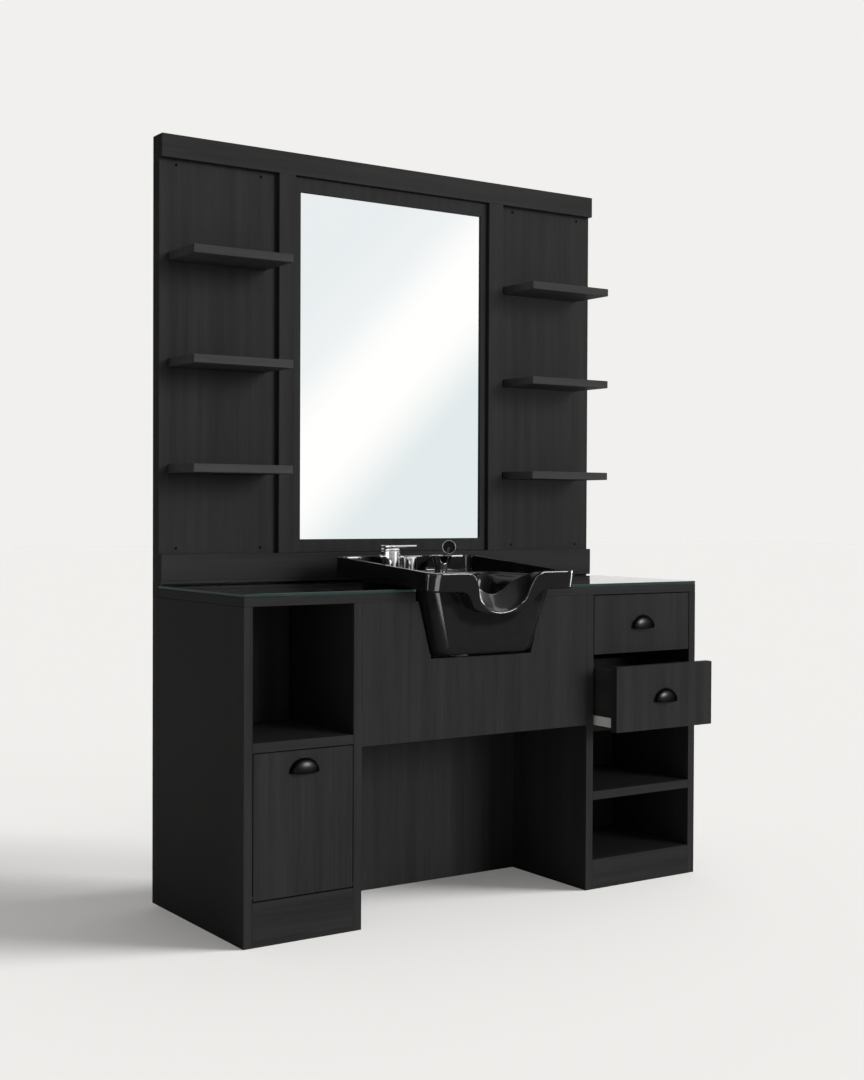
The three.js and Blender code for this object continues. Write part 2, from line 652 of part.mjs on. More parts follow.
// The bowl: flange with a raised rim and a leaning face, neck rest, tub below; level rear deck and drain seat
function bowlGeometry() {
  const front = -BOWL_REACH;
  const half = BOWL_WIDTH / 2;
  const above = glassTop + 2 * RIM_REAR_HEIGHT;
  const [left, right] = [bowlMiddle - half, bowlMiddle + half];
  const plan = new THREE.Shape();
  plan.moveTo(left + BOWL_CORNER, front);
  plan.lineTo(right - BOWL_CORNER, front);
  plan.absarc(right - BOWL_CORNER, front + BOWL_CORNER, BOWL_CORNER, -Math.PI / 2, 0, false);
  plan.absarc(right - BOWL_CORNER, bowlRear - BOWL_CORNER, BOWL_CORNER, 0, Math.PI / 2, false);
  plan.absarc(left + BOWL_CORNER, bowlRear - BOWL_CORNER, BOWL_CORNER, Math.PI / 2, Math.PI, false);
  plan.absarc(left + BOWL_CORNER, front + BOWL_CORNER, BOWL_CORNER, Math.PI, 1.5 * Math.PI, false);
  const flange = prism("z", plan, [glassTop + SEAT_GAP, above]);

  const skirtLow = glassTop - SKIRT_DROP;
  const saddleLow = glassTop - NECK_DEPTH - SADDLE_THICKNESS;
  const skirtCurve = neckCurve(NECK_HALF_WIDTH + SADDLE_THICKNESS, skirtLow, saddleLow);
  const skirt = outline([[left, skirtLow], ...skirtCurve, [right, skirtLow], [right, above], [left, above]]);
  const saddle = common(
    prism("y", skirt, [front, -SEAT_GAP]),
    prism("z", plan, [saddleLow - 1, above]),
  );

  const tubTop = { half: TUB_TOP_WIDTH / 2, front: -TUB_TOP_REACH, rear: tubRear, corner: TUB_CORNER };
  const tubFoot = {
    half: TUB_BOTTOM_WIDTH / 2,
    front: -TUB_BOTTOM_REACH,
    rear: tubRear - TUB_REAR_SLOPE,
    corner: TUB_CORNER,
  };
  const inset = (ring, by) => ({
    half: ring.half - by,
    front: ring.front + by,
    rear: ring.rear - by,
    corner: ring.corner,
  });
  const tub = loft([
    { z: tubBottom, ...inset(tubFoot, TUB_ROUND) },
    { z: tubBottom + TUB_ROUND, ...tubFoot },
    { z: glassTop + 2 * SEAT_GAP, ...tubTop },
  ]);
  const rimInside = {
    half: half - RIM_WIDTH,
    front: front + RIM_WIDTH,
    rear: basinRear,
    corner: BASIN_CORNER,
  };
  const basin = loft([
    { z: tubBottom + BOWL_FLOOR, ...inset(tubFoot, TUB_ROUND + BOWL_WALL) },
    { z: tubBottom + BOWL_FLOOR + TUB_ROUND, ...inset(tubFoot, BOWL_WALL) },
    { z: glassTop, ...inset(tubTop, BOWL_WALL) },
    { z: glassTop + SKIRT_DROP + SADDLE_THICKNESS, ...rimInside },
    { z: above + 1, ...rimInside },
  ]);

  const slope = (RIM_REAR_HEIGHT - RIM_FRONT_HEIGHT) / BOWL_DEPTH;
  const rimAt = (y) => glassTop + RIM_FRONT_HEIGHT + slope * (y - front);
  const beyond = BOWL_REACH;
  const overRim = outline([
    [front - beyond, rimAt(front - beyond)],
    [bowlRear + beyond, rimAt(bowlRear + beyond)],
    [bowlRear + beyond, above + beyond],
    [front - beyond, above + beyond],
  ]);
  const lean = (BOWL_REACH - NECK_LIP_REACH) / (RIM_FRONT_HEIGHT + NECK_DEPTH);
  const faceAt = (z) => front + lean * (glassTop + RIM_FRONT_HEIGHT - z);
  const beforeFace = outline([
    [front - beyond, saddleLow - beyond],
    [faceAt(saddleLow - beyond), saddleLow - beyond],
    [faceAt(above), above],
    [front - beyond, above],
  ]);
  const body = cut(
    join(flange, saddle, tub),
    basin,
    prism("x", overRim, [left - beyond, right + beyond]),
    prism("x", beforeFace, [left - beyond, right + beyond]),
    neckRest(above),
  );
  body.translate(0, BOWL_REACH, -glassTop).rotateX(BOWL_TILT).translate(0, -BOWL_REACH, glassTop);

  const deckRecess = loft([
    { z: deckTop, ...rimInside, rear: bowlRear - RIM_WIDTH },
    { z: above + beyond, ...rimInside, rear: bowlRear - RIM_WIDTH },
  ]);
  const drainCentre = [bowlMiddle, drainPlace];
  const drain = rod("z", DRAIN_RADIUS, [tubBottom - beyond, drainSeat + 1], drainCentre);
  const seat = rod("z", STRAINER_FLANGE + 1, [drainSeat, glassTop], drainCentre);
  return cut(body, deckRecess, drain, seat);
}

// The neck curve seen from the front, left to right: a rounded shoulder, a dip to its lowest point, up again
function neckCurve(halfWidth, high, low) {
  const waist = low + (high - low) * 0.55;
  const outer = halfWidth + NECK_SHOULDER;
  const shoulder = halfWidth + NECK_SHOULDER * 0.24;
  const rightHalf = new THREE.Path();
  rightHalf.moveTo(0, low);
  rightHalf.bezierCurveTo(halfWidth * 0.44, low, halfWidth, low + (waist - low) * 0.4, halfWidth, waist);
  rightHalf.bezierCurveTo(shoulder, waist + (high - waist) * 0.68, 2 * shoulder - halfWidth, high, outer, high);
  const points = rightHalf.getPoints(10).map(({ x, y }) => [x, y]);
  const leftHalf = points.slice(1).reverse().map(([x, z]) => [-x, z]);
  return [...leftHalf, ...points].map(([x, z]) => [bowlMiddle + x, z]);
}

// What is cut away above the neck rest: its floor climbs from the lip to a ridge over the tub's front wall
function neckRest(above) {
  const rimLevel = glassTop + RIM_FRONT_HEIGHT;
  const low = glassTop - NECK_DEPTH;
  const stations = [
    { y: 0, floor: low + NECK_RIDGE_RISE },
    { y: -NECK_RIDGE_REACH, floor: low + NECK_RIDGE_RISE },
    { y: -NECK_RIDGE_REACH - SADDLE_THICKNESS, floor: low + NECK_RIDGE_RISE * 0.85 },
    { y: -NECK_LIP_REACH + SADDLE_THICKNESS / 2, floor: low + NECK_RIDGE_RISE / 6 },
    { y: -NECK_LIP_REACH, floor: low },
    { y: -BOWL_REACH - 1, floor: low },
  ];
  const sections = stations.map(({ y, floor }) => {
    const curve = neckCurve(NECK_HALF_WIDTH, rimLevel, floor);
    const [start, end] = [curve[0][0], curve.at(-1)[0]];
    return [...curve, [end, above + BOWL_REACH], [start, above + BOWL_REACH]].map(([x, z]) => [x, y, z]);
  });
  return skin(sections, [0, 2]);
}

// Packing that carries the leaning bowl's rear on the glass
function bowlWedge() {
  const rear = bowlRear - RIM_WIDTH;
  const under = (y) => glassTop + bowlRise(y) - SEAT_GAP;
  const side = outline([
    [rear - WEDGE_DEPTH, glassTop],
    [rear, glassTop],
    [rear, under(rear)],
    [rear - WEDGE_DEPTH, under(rear - WEDGE_DEPTH)],
  ]);
  return prism("x", side, [bowlMiddle - WEDGE_WIDTH / 2, bowlMiddle + WEDGE_WIDTH / 2]);
}

// Strainer in the bowl's drain and the trap below it
function waste() {
  const group = new THREE.Group();
  const tail = drainSeat - tubBottom - bowlRise(drainPlace) + STRAINER_TAIL;
  const tailRadius = DRAIN_RADIUS - SEAT_GAP;
  const strainer = turned(
    [
      [0, -tail],
      [tailRadius, -tail],
      [tailRadius, SEAT_GAP],
      [STRAINER_FLANGE, SEAT_GAP],
      [STRAINER_FLANGE - STRAINER_THICKNESS, STRAINER_THICKNESS],
      [0, STRAINER_THICKNESS],
    ],
    bowlMiddle,
    drainPlace,
    drainSeat,
  );
  group.add(piece("drain_strainer", "chrome", strainer));

  const top = drainSeat - tail - SEAT_GAP;
  const bendHeight = top - TRAP_DROP;
  const pipeHeight = wastePipeHeight;
  const elbow = pipeHeight - bendHeight;
  const arc = (centreY, centreZ, from, to) =>
    Array.from({ length: 8 }, (_, step) => {
      const angle = from + ((to - from) * (step + 1)) / 8;
      return new THREE.Vector3(
        bowlMiddle,
        centreY + TRAP_BEND * Math.cos(angle),
        centreZ + TRAP_BEND * Math.sin(angle),
      );
    });
  const rise = drainPlace + trapWidth;
  const path = new THREE.CatmullRomCurve3(
    [
      new THREE.Vector3(bowlMiddle, drainPlace, top),
      new THREE.Vector3(bowlMiddle, drainPlace, (top + bendHeight) / 2),
      new THREE.Vector3(bowlMiddle, drainPlace, bendHeight),
      ...arc(drainPlace + TRAP_BEND, bendHeight, Math.PI, 2 * Math.PI),
      ...arc(rise + TRAP_BEND, bendHeight + elbow - TRAP_BEND, Math.PI, Math.PI / 2),
      new THREE.Vector3(bowlMiddle, SERVICE_WALL_SETBACK + SERVICE_WALL_THICKNESS + TRAP_PAST_WALL, pipeHeight),
    ],
    false,
    "centripetal",
  );
  const section = new THREE.Shape();
  section.absarc(0, 0, TRAP_RADIUS, 0, 2 * Math.PI, false);
  const trap = new THREE.ExtrudeGeometry(section, { steps: 40, curveSegments: 6, extrudePath: path });
  group.add(piece("drain_trap", "pipe", trap));
  return group;
}

// Single-lever mixer, hose outlet and the hand sprayer in its holder, on the bowl's deck
function tap() {
  const group = new THREE.Group();
  const mixerX = bowlMiddle + MIXER_SIDE;
  const mixerTop = deckTop + MIXER_HEIGHT;
  const mixer = turned(
    [
      [0, 0],
      [MIXER_FLANGE, 0],
      [MIXER_FLANGE, MIXER_FLANGE_HEIGHT],
      [MIXER_RADIUS, MIXER_FLANGE_HEIGHT],
      [MIXER_RADIUS, MIXER_HEIGHT],
      [0, MIXER_HEIGHT],
    ],
    mixerX,
    deckMiddle,
    deckTop,
  );
  const cap = turned(
    [
      [0, SEAT_GAP],
      [MIXER_RADIUS, SEAT_GAP],
      [MIXER_RADIUS, CAP_HEIGHT * 0.7],
      [MIXER_RADIUS * 0.9, CAP_HEIGHT],
      [0, CAP_HEIGHT],
    ],
    mixerX,
    deckMiddle,
    mixerTop,
  );
  const leverFoot = mixerTop + CAP_HEIGHT + SEAT_GAP;
  const leverX = [mixerX - MIXER_RADIUS, mixerX - MIXER_RADIUS + LEVER_LENGTH];
  const tip = leverX[1] - LEVER_WIDTH / 2;
  const leverShape = new THREE.Shape();
  leverShape.moveTo(leverX[0], deckMiddle - MIXER_RADIUS * 0.8);
  leverShape.lineTo(mixerX, deckMiddle - MIXER_RADIUS);
  leverShape.lineTo(tip, deckMiddle - LEVER_WIDTH / 2);
  leverShape.absarc(tip, deckMiddle, LEVER_WIDTH / 2, -Math.PI / 2, Math.PI / 2, false);
  leverShape.lineTo(mixerX, deckMiddle + MIXER_RADIUS);
  leverShape.lineTo(leverX[0], deckMiddle + MIXER_RADIUS * 0.8);
  const lever = prism("z", leverShape, [leverFoot, leverFoot + LEVER_THICKNESS]);

  const outlet = turned(
    [
      [0, 0],
      [OUTLET_RADIUS, 0],
      [OUTLET_RADIUS, OUTLET_HEIGHT * 0.8],
      [OUTLET_RADIUS * 0.85, OUTLET_HEIGHT],
      [0, OUTLET_HEIGHT],
    ],
    bowlMiddle + OUTLET_SIDE,
    deckMiddle - OUTLET_FORWARD,
    deckTop,
  );
  const holderX = bowlMiddle + HOLDER_SIDE;
  const holder = turned(
    [
      [0, 0],
      [HOLDER_FOOT, 0],
      [HOLDER_MOUTH, HOLDER_HEIGHT],
      [HOLDER_MOUTH - HOLDER_WALL, HOLDER_HEIGHT],
      [HOLDER_FOOT - HOLDER_WALL, HOLDER_WALL],
      [0, HOLDER_WALL],
    ],
    holderX,
    deckMiddle,
    deckTop,
  );
  group.add(
    piece("mixer_body", "chrome", mixer),
    piece("mixer_cap", "chrome", cap),
    piece("mixer_lever", "chrome", lever),
    piece("hose_outlet", "chrome", outlet),
    piece("sprayer_holder", "chrome", holder),
  );

  const handle = turned(
    [
      [0, 0],
      [HANDLE_FOOT_RADIUS, 0],
      [HANDLE_RADIUS, HANDLE_LENGTH],
      [0, HANDLE_LENGTH],
    ],
    0,
    0,
    0,
  );
  const head = turned(
    [
      [0, -HEAD_THICKNESS / 2],
      [HEAD_RADIUS * 0.6, -HEAD_THICKNESS / 2],
      [HEAD_RADIUS, HEAD_THICKNESS / 4],
      [HEAD_RADIUS, HEAD_THICKNESS / 2],
      [0, HEAD_THICKNESS / 2],
    ],
    0,
    0,
    0,
  );
  handle.rotateY(HANDLE_LEAN);
  head.rotateX(Math.PI / 2 - HEAD_TIP).rotateZ(-HEAD_TURN);
  head.translate(HANDLE_LENGTH * Math.sin(HANDLE_LEAN), 0, HANDLE_LENGTH * Math.cos(HANDLE_LEAN));
  const sprayer = piece("sprayer", "plastic", join(handle, head));
  const footRise = HANDLE_FOOT_RADIUS * Math.sin(HANDLE_LEAN);
  sprayer.position.set(holderX, deckMiddle, deckTop + HOLDER_WALL + footRise + SEAT_GAP);
  group.add(sprayer);
  return group;
}

const station = new THREE.Group();
station.position.set(-WIDTH / 2, -(wallBack - frontReach) / 2, 0);
station.add(cabinets(), worktop(), mirrorWall(), wallShelves());
station.add(drawer("top_drawer", TOP_FRONT_BOTTOM, CARCASS_HEIGHT - FRONT_REVEAL, 0));
station.add(
  drawer("lower_drawer", LOWER_FRONT_BOTTOM, LOWER_FRONT_BOTTOM + LOWER_FRONT_HEIGHT, LOWER_DRAWER_OPEN),
);
station.add(hamper(), waste(), tap());
station.add(piece("bowl", "bowl", bowlGeometry()), piece("bowl_wedge", "lining", bowlWedge()));

const root = new THREE.Group();
root.add(station);
export default root;
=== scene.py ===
import math

import bmesh
import bpy
import numpy as np
from mathutils import Matrix, Vector


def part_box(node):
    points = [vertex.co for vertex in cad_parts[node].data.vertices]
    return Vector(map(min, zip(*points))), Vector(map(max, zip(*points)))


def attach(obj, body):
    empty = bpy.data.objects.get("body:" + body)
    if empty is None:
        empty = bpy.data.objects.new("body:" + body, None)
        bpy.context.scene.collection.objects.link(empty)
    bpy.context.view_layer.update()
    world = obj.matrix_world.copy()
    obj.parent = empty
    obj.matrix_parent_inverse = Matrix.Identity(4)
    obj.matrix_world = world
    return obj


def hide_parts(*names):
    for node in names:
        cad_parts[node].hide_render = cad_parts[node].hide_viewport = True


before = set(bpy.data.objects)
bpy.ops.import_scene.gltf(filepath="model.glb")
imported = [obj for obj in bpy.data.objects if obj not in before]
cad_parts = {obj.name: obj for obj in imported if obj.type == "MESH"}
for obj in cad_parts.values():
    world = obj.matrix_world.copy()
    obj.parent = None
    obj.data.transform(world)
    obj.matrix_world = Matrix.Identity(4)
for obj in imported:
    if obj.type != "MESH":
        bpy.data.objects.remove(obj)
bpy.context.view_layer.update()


# The studio: a pale floor and backdrop, and one broad lamp on the right in front. The floor and the bowl have
# lamps of their own, and panels of light hang where only the shiny pieces mirror them.
# The camera stands a good four metres off to the left, at chest height, with a normal lens.
scene = bpy.context.scene
scene.view_settings.view_transform = "Standard"

heading, dip, roll = math.radians(34.01), -0.0152, 0.0041
ahead = Vector((math.sin(heading) * math.cos(dip), math.cos(heading) * math.cos(dip), math.sin(dip)))
level_right = Vector((math.cos(heading), -math.sin(heading), 0))
plumb_up = level_right.cross(ahead)
view_right = level_right * math.cos(roll) + plumb_up * math.sin(roll)
view_up = plumb_up * math.cos(roll) - level_right * math.sin(roll)
lens = bpy.data.cameras.new("camera")
lens.sensor_fit = "VERTICAL"
lens.sensor_height = 36
lens.lens = 51.05
lens.shift_y = -0.0044
camera = bpy.data.objects.new("camera", lens)
camera.matrix_world = Matrix((view_right, view_up, -ahead)).transposed().to_4x4()
camera.location = (-2.495, -3.614, 1.0905)
scene.collection.objects.link(camera)
scene.camera = camera


def add(tree, kind, sockets=(), **settings):
    """A node in the tree, its settings made, and each socket given a value or another node's output."""
    made = tree.nodes.new(kind)
    for name, value in settings.items():
        setattr(made, name, value)
    for socket, value in dict(sockets).items():
        if isinstance(value, bpy.types.NodeSocket):
            tree.links.new(value, made.inputs[socket])
        else:
            made.inputs[socket].default_value = value
    return made


def gives(tree, kind, sockets=(), **settings):
    """The first output of a new node."""
    return add(tree, kind, sockets, **settings).outputs[0]


def maths(tree, work, first, second=0.0):
    return gives(tree, "ShaderNodeMath", {0: first, 1: second}, operation=work)


def along(tree, place, way):
    """How far a place lies along one direction."""
    return add(tree, "ShaderNodeVectorMath", {0: place, 1: way}, operation="DOT_PRODUCT").outputs["Value"]


pale, ambient_level = (0.880, 0.871, 0.855, 1), 0.25
world = bpy.data.worlds.new("studio")
world.use_nodes = True
scene.world = world
tree = world.node_tree
tree.nodes.clear()
path = add(tree, "ShaderNodeLightPath").outputs
bearing = add(tree, "ShaderNodeTexCoord").outputs["Generated"]


def glow_toward(way, start, full, dim, bright):
    """How bright the surroundings look in a shine, by how nearly the shine looks one way."""
    nearness = along(tree, bearing, way)
    span = {"Value": nearness, "From Min": start, "From Max": full, "To Min": dim, "To Max": bright}
    return gives(tree, "ShaderNodeMapRange", span, interpolation_type="SMOOTHSTEP")


window = glow_toward((0.62, -0.78, 0.05), -0.25, 0.6, 0.06, 1.15)
strip = glow_toward((-0.76, -0.64, 0.10), 0.90, 0.965, 0, 1.7)
backdrop = glow_toward((0.58, 0.81, 0.05), 0.90, 0.97, 0, 1)
all_round = maths(tree, "MAXIMUM", maths(tree, "MAXIMUM", window, strip), backdrop)
seen_plain = maths(tree, "MAXIMUM", path["Is Camera Ray"], path["Is Transmission Ray"])
seen_shiny = maths(tree, "MULTIPLY", path["Is Glossy Ray"], all_round)
ambient = maths(tree, "MULTIPLY", path["Is Diffuse Ray"], ambient_level)
strength = maths(tree, "MAXIMUM", maths(tree, "MAXIMUM", seen_plain, seen_shiny), ambient)
sky = gives(tree, "ShaderNodeBackground", {"Color": pale, "Strength": strength})
add(tree, "ShaderNodeOutputWorld", {"Surface": sky})


def sun(name, strength, spread, toward):
    """A distant lamp: its strength, how wide it is in degrees, and the direction toward it."""
    lamp = bpy.data.lights.new(name, "SUN")
    lamp.energy = strength
    lamp.angle = math.radians(spread)
    hung = bpy.data.objects.new(name, lamp)
    hung.rotation_euler = Vector(toward).to_track_quat("Z", "Y").to_euler()
    hung.visible_glossy = False
    scene.collection.objects.link(hung)
    return hung


key_light = sun("key_light", 2.75, 26, (0.42, -0.88, 0.25))
floor_light = sun("floor_light", 6.3, 26, (0.70, -0.42, 0.62))
floor_dome = sun("floor_dome", 2.3, 120, (0.50, -0.10, 0.85))
bowl_light = sun("bowl_light", 4.2, 14, (0.20, -0.80, 0.55))
black_gloss = bpy.data.collections.new("black_gloss")
chrome_work = bpy.data.collections.new("chrome_work")
pull_shine = bpy.data.collections.new("pull_shine")
past_all = bpy.data.collections.new("past_all")
station_middle = Vector((0, -0.1, 0.95))


def light_panel(name, wide, tall, glow, place, onto):
    """A panel of light, as bright as its glow, that only the shiny pieces in one collection mirror."""
    lamp = bpy.data.lights.new(name, "AREA")
    lamp.shape = "RECTANGLE"
    lamp.size, lamp.size_y = wide, tall
    lamp.energy = glow * math.pi * wide * tall
    hung = bpy.data.objects.new(name, lamp)
    hung.location = place
    hung.rotation_euler = (Vector(place) - station_middle).to_track_quat("Z", "Y").to_euler()
    hung.visible_diffuse = False
    hung.visible_transmission = False
    hung.light_linking.receiver_collection = onto
    scene.collection.objects.link(hung)
    return hung


light_panel("front_softbox", 1.6, 1.6, 64, (2.0, -3.3, 1.6), black_gloss)
light_panel("side_softbox", 0.9, 0.9, 26, (-1.25, -2.75, 2.2), black_gloss)
light_panel("overhead_panel", 1.4, 1.4, 2.9, (1.5, -0.1, 3.1), black_gloss)
light_panel("right_strip", 1.0, 1.6, 9.6, (3.0, 0.65, 1.4), black_gloss)
light_panel("front_strip", 1.0, 0.9, 14, (-0.42, -1.9, 0.5), black_gloss)
light_panel("left_card", 0.8, 1.2, 13, (-3.0, 0.2, 1.0), black_gloss)
light_panel("pull_panel", 1.1, 1.1, 110, (0.91, -2.46, 2.74), pull_shine)
for name, wide, tall, glow, place, onto in (
    ("left_reflector", 1.5, 1.6, 1.5, (-2.2, -0.55, 1.0), chrome_work),
    ("front_reflector", 1.6, 1.6, 0.9, (1.4, -2.5, 1.0), chrome_work),
    ("corner_strip", 0.6, 0.6, 19, (3.0, -0.05, 0.66), black_gloss),
    ("rear_card", 1.6, 1.0, 3.0, (1.7, 2.4, 1.9), black_gloss),
):
    light_panel(name, wide, tall, glow, place, onto).light_linking.blocker_collection = past_all

reach, paper_grey, paper_lift, shine_cut = 40, (0.370, 0.366, 0.359), 0.13, 0.70
floor_mesh = bpy.data.meshes.new("floor")
floor_corners = [(-reach, -reach, 0), (reach, -reach, 0), (reach, reach, 0), (-reach, reach, 0)]
floor_mesh.from_pydata(floor_corners, [], [(0, 1, 2, 3)])
floor = bpy.data.objects.new("floor", floor_mesh)
scene.collection.objects.link(floor)
paper = bpy.data.materials.new("pale_floor")
paper.use_nodes = True
tree = paper.node_tree
tree.nodes.clear()
path = add(tree, "ShaderNodeLightPath").outputs
seen = maths(tree, "MAXIMUM", path["Is Glossy Ray"], path["Is Transmission Ray"])
seen = maths(tree, "MAXIMUM", path["Is Camera Ray"], seen)
dull_shine = maths(tree, "SUBTRACT", path["Is Glossy Ray"], path["Is Singular Ray"])
for_shine = maths(tree, "SUBTRACT", 1.0, maths(tree, "MULTIPLY", dull_shine, shine_cut))
card = gives(tree, "ShaderNodeVectorMath", {0: paper_grey, "Scale": for_shine}, operation="SCALE")
matt = gives(tree, "ShaderNodeBsdfDiffuse", {"Color": card})
lift = maths(tree, "MULTIPLY", maths(tree, "MULTIPLY", seen, for_shine), paper_lift)
glow = gives(tree, "ShaderNodeEmission", {"Color": pale, "Strength": lift})
add(tree, "ShaderNodeOutputMaterial", {"Surface": gives(tree, "ShaderNodeAddShader", {0: matt, 1: glow})})
floor_mesh.materials.append(paper)
for lamp, takes in ((key_light, "EXCLUDE"), (floor_light, "INCLUDE"), (floor_dome, "INCLUDE")):
    lit = bpy.data.collections.new(lamp.name + "_on")
    lit.objects.link(floor)
    lit.collection_objects[0].light_linking.link_state = takes
    lamp.light_linking.receiver_collection = lit
past_all.objects.link(floor)
low_left = ("left_outer_side", "left_inner_side", "left_kick", "hamper_door")
lamp_shade = (*low_left, "left_bay_panel", "mirror_backer", "right_inner_side")
dome_shade = (*low_left, "service_wall", "right_inner_side", "right_kick")
for lamp, names in ((floor_light, lamp_shade), (floor_dome, dome_shade)):
    casts = bpy.data.collections.new(lamp.name + "_past")
    for name in names:
        casts.objects.link(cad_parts[name])
    lamp.light_linking.blocker_collection = casts


# The two cabinets: boards of an open-pored wood, stained nearly black and lacquered satin, screwed and glued.
# Sides, apron and service wall have their grain upright; floors, shelves and kick boards have it level.
def new_group(name, kind, inputs, outputs):
    """A node group of one kind with these named sockets, and what its inputs give."""
    made = bpy.data.node_groups.new(name, kind)
    for way, sockets in (("INPUT", inputs), ("OUTPUT", outputs)):
        for title, sort in sockets.items():
            made.interface.new_socket(title, in_out=way, socket_type=f"NodeSocket{sort}")
    return made, add(made, "NodeGroupInput").outputs


grain_inputs, grain_outputs = {"Place": "Vector", "Figure": "Float"}, {"Tone": "Float", "Relief": "Float"}
grain, given = new_group("stained_grain", "ShaderNodeTree", grain_inputs, grain_outputs)


def streaks(across, lengthwise, detail):
    """Noise drawn out along the grain, about nought."""
    stretch = {0: given["Place"], 1: (across, across, lengthwise)}
    drawn = gives(grain, "ShaderNodeVectorMath", stretch, operation="MULTIPLY")
    noise = gives(grain, "ShaderNodeTexNoise", {"Vector": drawn, "Scale": 1, "Detail": detail})
    return maths(grain, "SUBTRACT", noise, 0.5)


figure = maths(grain, "MULTIPLY", streaks(34, 1.0, 3), given["Figure"])
fibres = streaks(300, 6, 2)
cloud = streaks(2.6, 1.4, 2)
pore_span = {"Value": streaks(900, 16, 1), "From Min": 0.10, "From Max": 0.22, "To Min": 0, "To Max": 1}
open_pores = gives(grain, "ShaderNodeMapRange", pore_span)
tone = maths(grain, "ADD", figure, maths(grain, "MULTIPLY", fibres, 0.55))
tone = maths(grain, "ADD", tone, maths(grain, "MULTIPLY", cloud, 0.45))
tone = maths(grain, "SUBTRACT", maths(grain, "ADD", tone, 0.5), maths(grain, "MULTIPLY", open_pores, 0.22))
relief = maths(grain, "SUBTRACT", fibres, maths(grain, "MULTIPLY", open_pores, 0.6))
add(grain, "NodeGroupOutput", {"Tone": tone, "Relief": relief})


def new_finish(name, plain=()):
    """A material, its tree, its shader with what is plain all over set on it, and the place on the piece."""
    finish = bpy.data.materials.new(name)
    finish.use_nodes = True
    tree = finish.node_tree
    shader = tree.nodes["Principled BSDF"]
    for socket, value in dict(plain).items():
        shader.inputs[socket].default_value = value
    return finish, tree, shader, add(tree, "ShaderNodeTexCoord").outputs["Object"]


def stained_wood(name, turn, dark, light, gloss):
    """Black-stained wood with its grain turned, in degrees, from upright."""
    wood, tree, shader, place = new_finish(name, {"Specular IOR Level": 0.15})
    turned = gives(tree, "ShaderNodeMapping", {"Vector": place, "Rotation": [math.radians(a) for a in turn]})
    lines = add(tree, "ShaderNodeGroup", {"Place": turned, "Figure": 0.9}, node_tree=grain).outputs
    stain = add(tree, "ShaderNodeValToRGB", {"Fac": lines["Tone"]})
    stain.color_ramp.elements[0].position, stain.color_ramp.elements[0].color = 0.15, (*dark, 1)
    stain.color_ramp.elements[1].position, stain.color_ramp.elements[1].color = 0.85, (*light, 1)
    tree.links.new(stain.outputs["Color"], shader.inputs["Base Color"])
    sheen = {"Value": lines["Tone"], "From Min": 0.2, "From Max": 0.8}
    sheen |= {"To Min": gloss, "To Max": gloss + 0.12}
    tree.links.new(gives(tree, "ShaderNodeMapRange", sheen), shader.inputs["Roughness"])
    pores = {"Height": lines["Relief"], "Strength": 0.3, "Distance": 0.0004}
    tree.links.new(gives(tree, "ShaderNodeBump", pores), shader.inputs["Normal"])
    return wood


charcoal, ash = (0.0120, 0.0120, 0.0121), (0.0260, 0.0260, 0.0262)
wood_upright = stained_wood("wood_upright", (0, 0, 0), charcoal, ash, 0.46)
wood_level = stained_wood("wood_level", (0, 90, 0), charcoal, ash, 0.46)


def dress_node(name, material, arris=0.0012):
    """A CAD solid kept as it is, with its sharp edges eased and its finish on."""
    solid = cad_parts[name]
    solid.material_slots[0].material = material
    weld = solid.modifiers.new("weld", "WELD")
    weld.merge_threshold = 0.00002
    ease = solid.modifiers.new("arris", "BEVEL")
    ease.width = arris
    ease.segments = 2
    ease.limit_method = "ANGLE"
    ease.angle_limit = math.radians(40)
    solid.modifiers.new("facing", "WEIGHTED_NORMAL").keep_sharp = True
    return solid


cabinet_sides = ("left_outer_side", "left_inner_side", "right_inner_side", "right_outer_side")
for name in (*cabinet_sides, "service_wall", "rear_access_panel", "apron"):
    dress_node(name, wood_upright)
cabinet_floors = ("left_bottom", "right_bottom", "cubby_floor", "cabinet_shelf", "drawer_floor")
for name in ("left_kick", "right_kick", *cabinet_floors):
    dress_node(name, wood_level)


# The worktop is one board with a sheet of float glass loose on it, both notched at the front for the bowl.
# The glass has polished arrises, and its edge shows the green of ordinary glass.
dress_node("worktop", wood_level, arris=0.0015)
glass_low, glass_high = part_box("glass_top")
sheet_gap, polished_arris = 0.0004, 0.0011
corners = [v.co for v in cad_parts["glass_top"].data.vertices]
left, notch_left, notch_right, right = sorted({round(c.x, 4) for c in corners})
front, notch_back, back = sorted({round(c.y, 4) for c in corners})
plan = [(left, front), (notch_left, front), (notch_left, notch_back), (notch_right, notch_back)]
plan += [(notch_right, front), (right, front), (right, back), (left, back)]

mottle_inputs = {"Place": "Vector", "Scale": "Float", "Detail": "Float"}
mottle, given = new_group("fine_mottle", "ShaderNodeTree", mottle_inputs, {"Tone": "Float"})
spots = {"Vector": given["Place"], "Scale": given["Scale"], "Detail": given["Detail"]}
add(mottle, "NodeGroupOutput", {"Tone": gives(mottle, "ShaderNodeTexNoise", spots)})


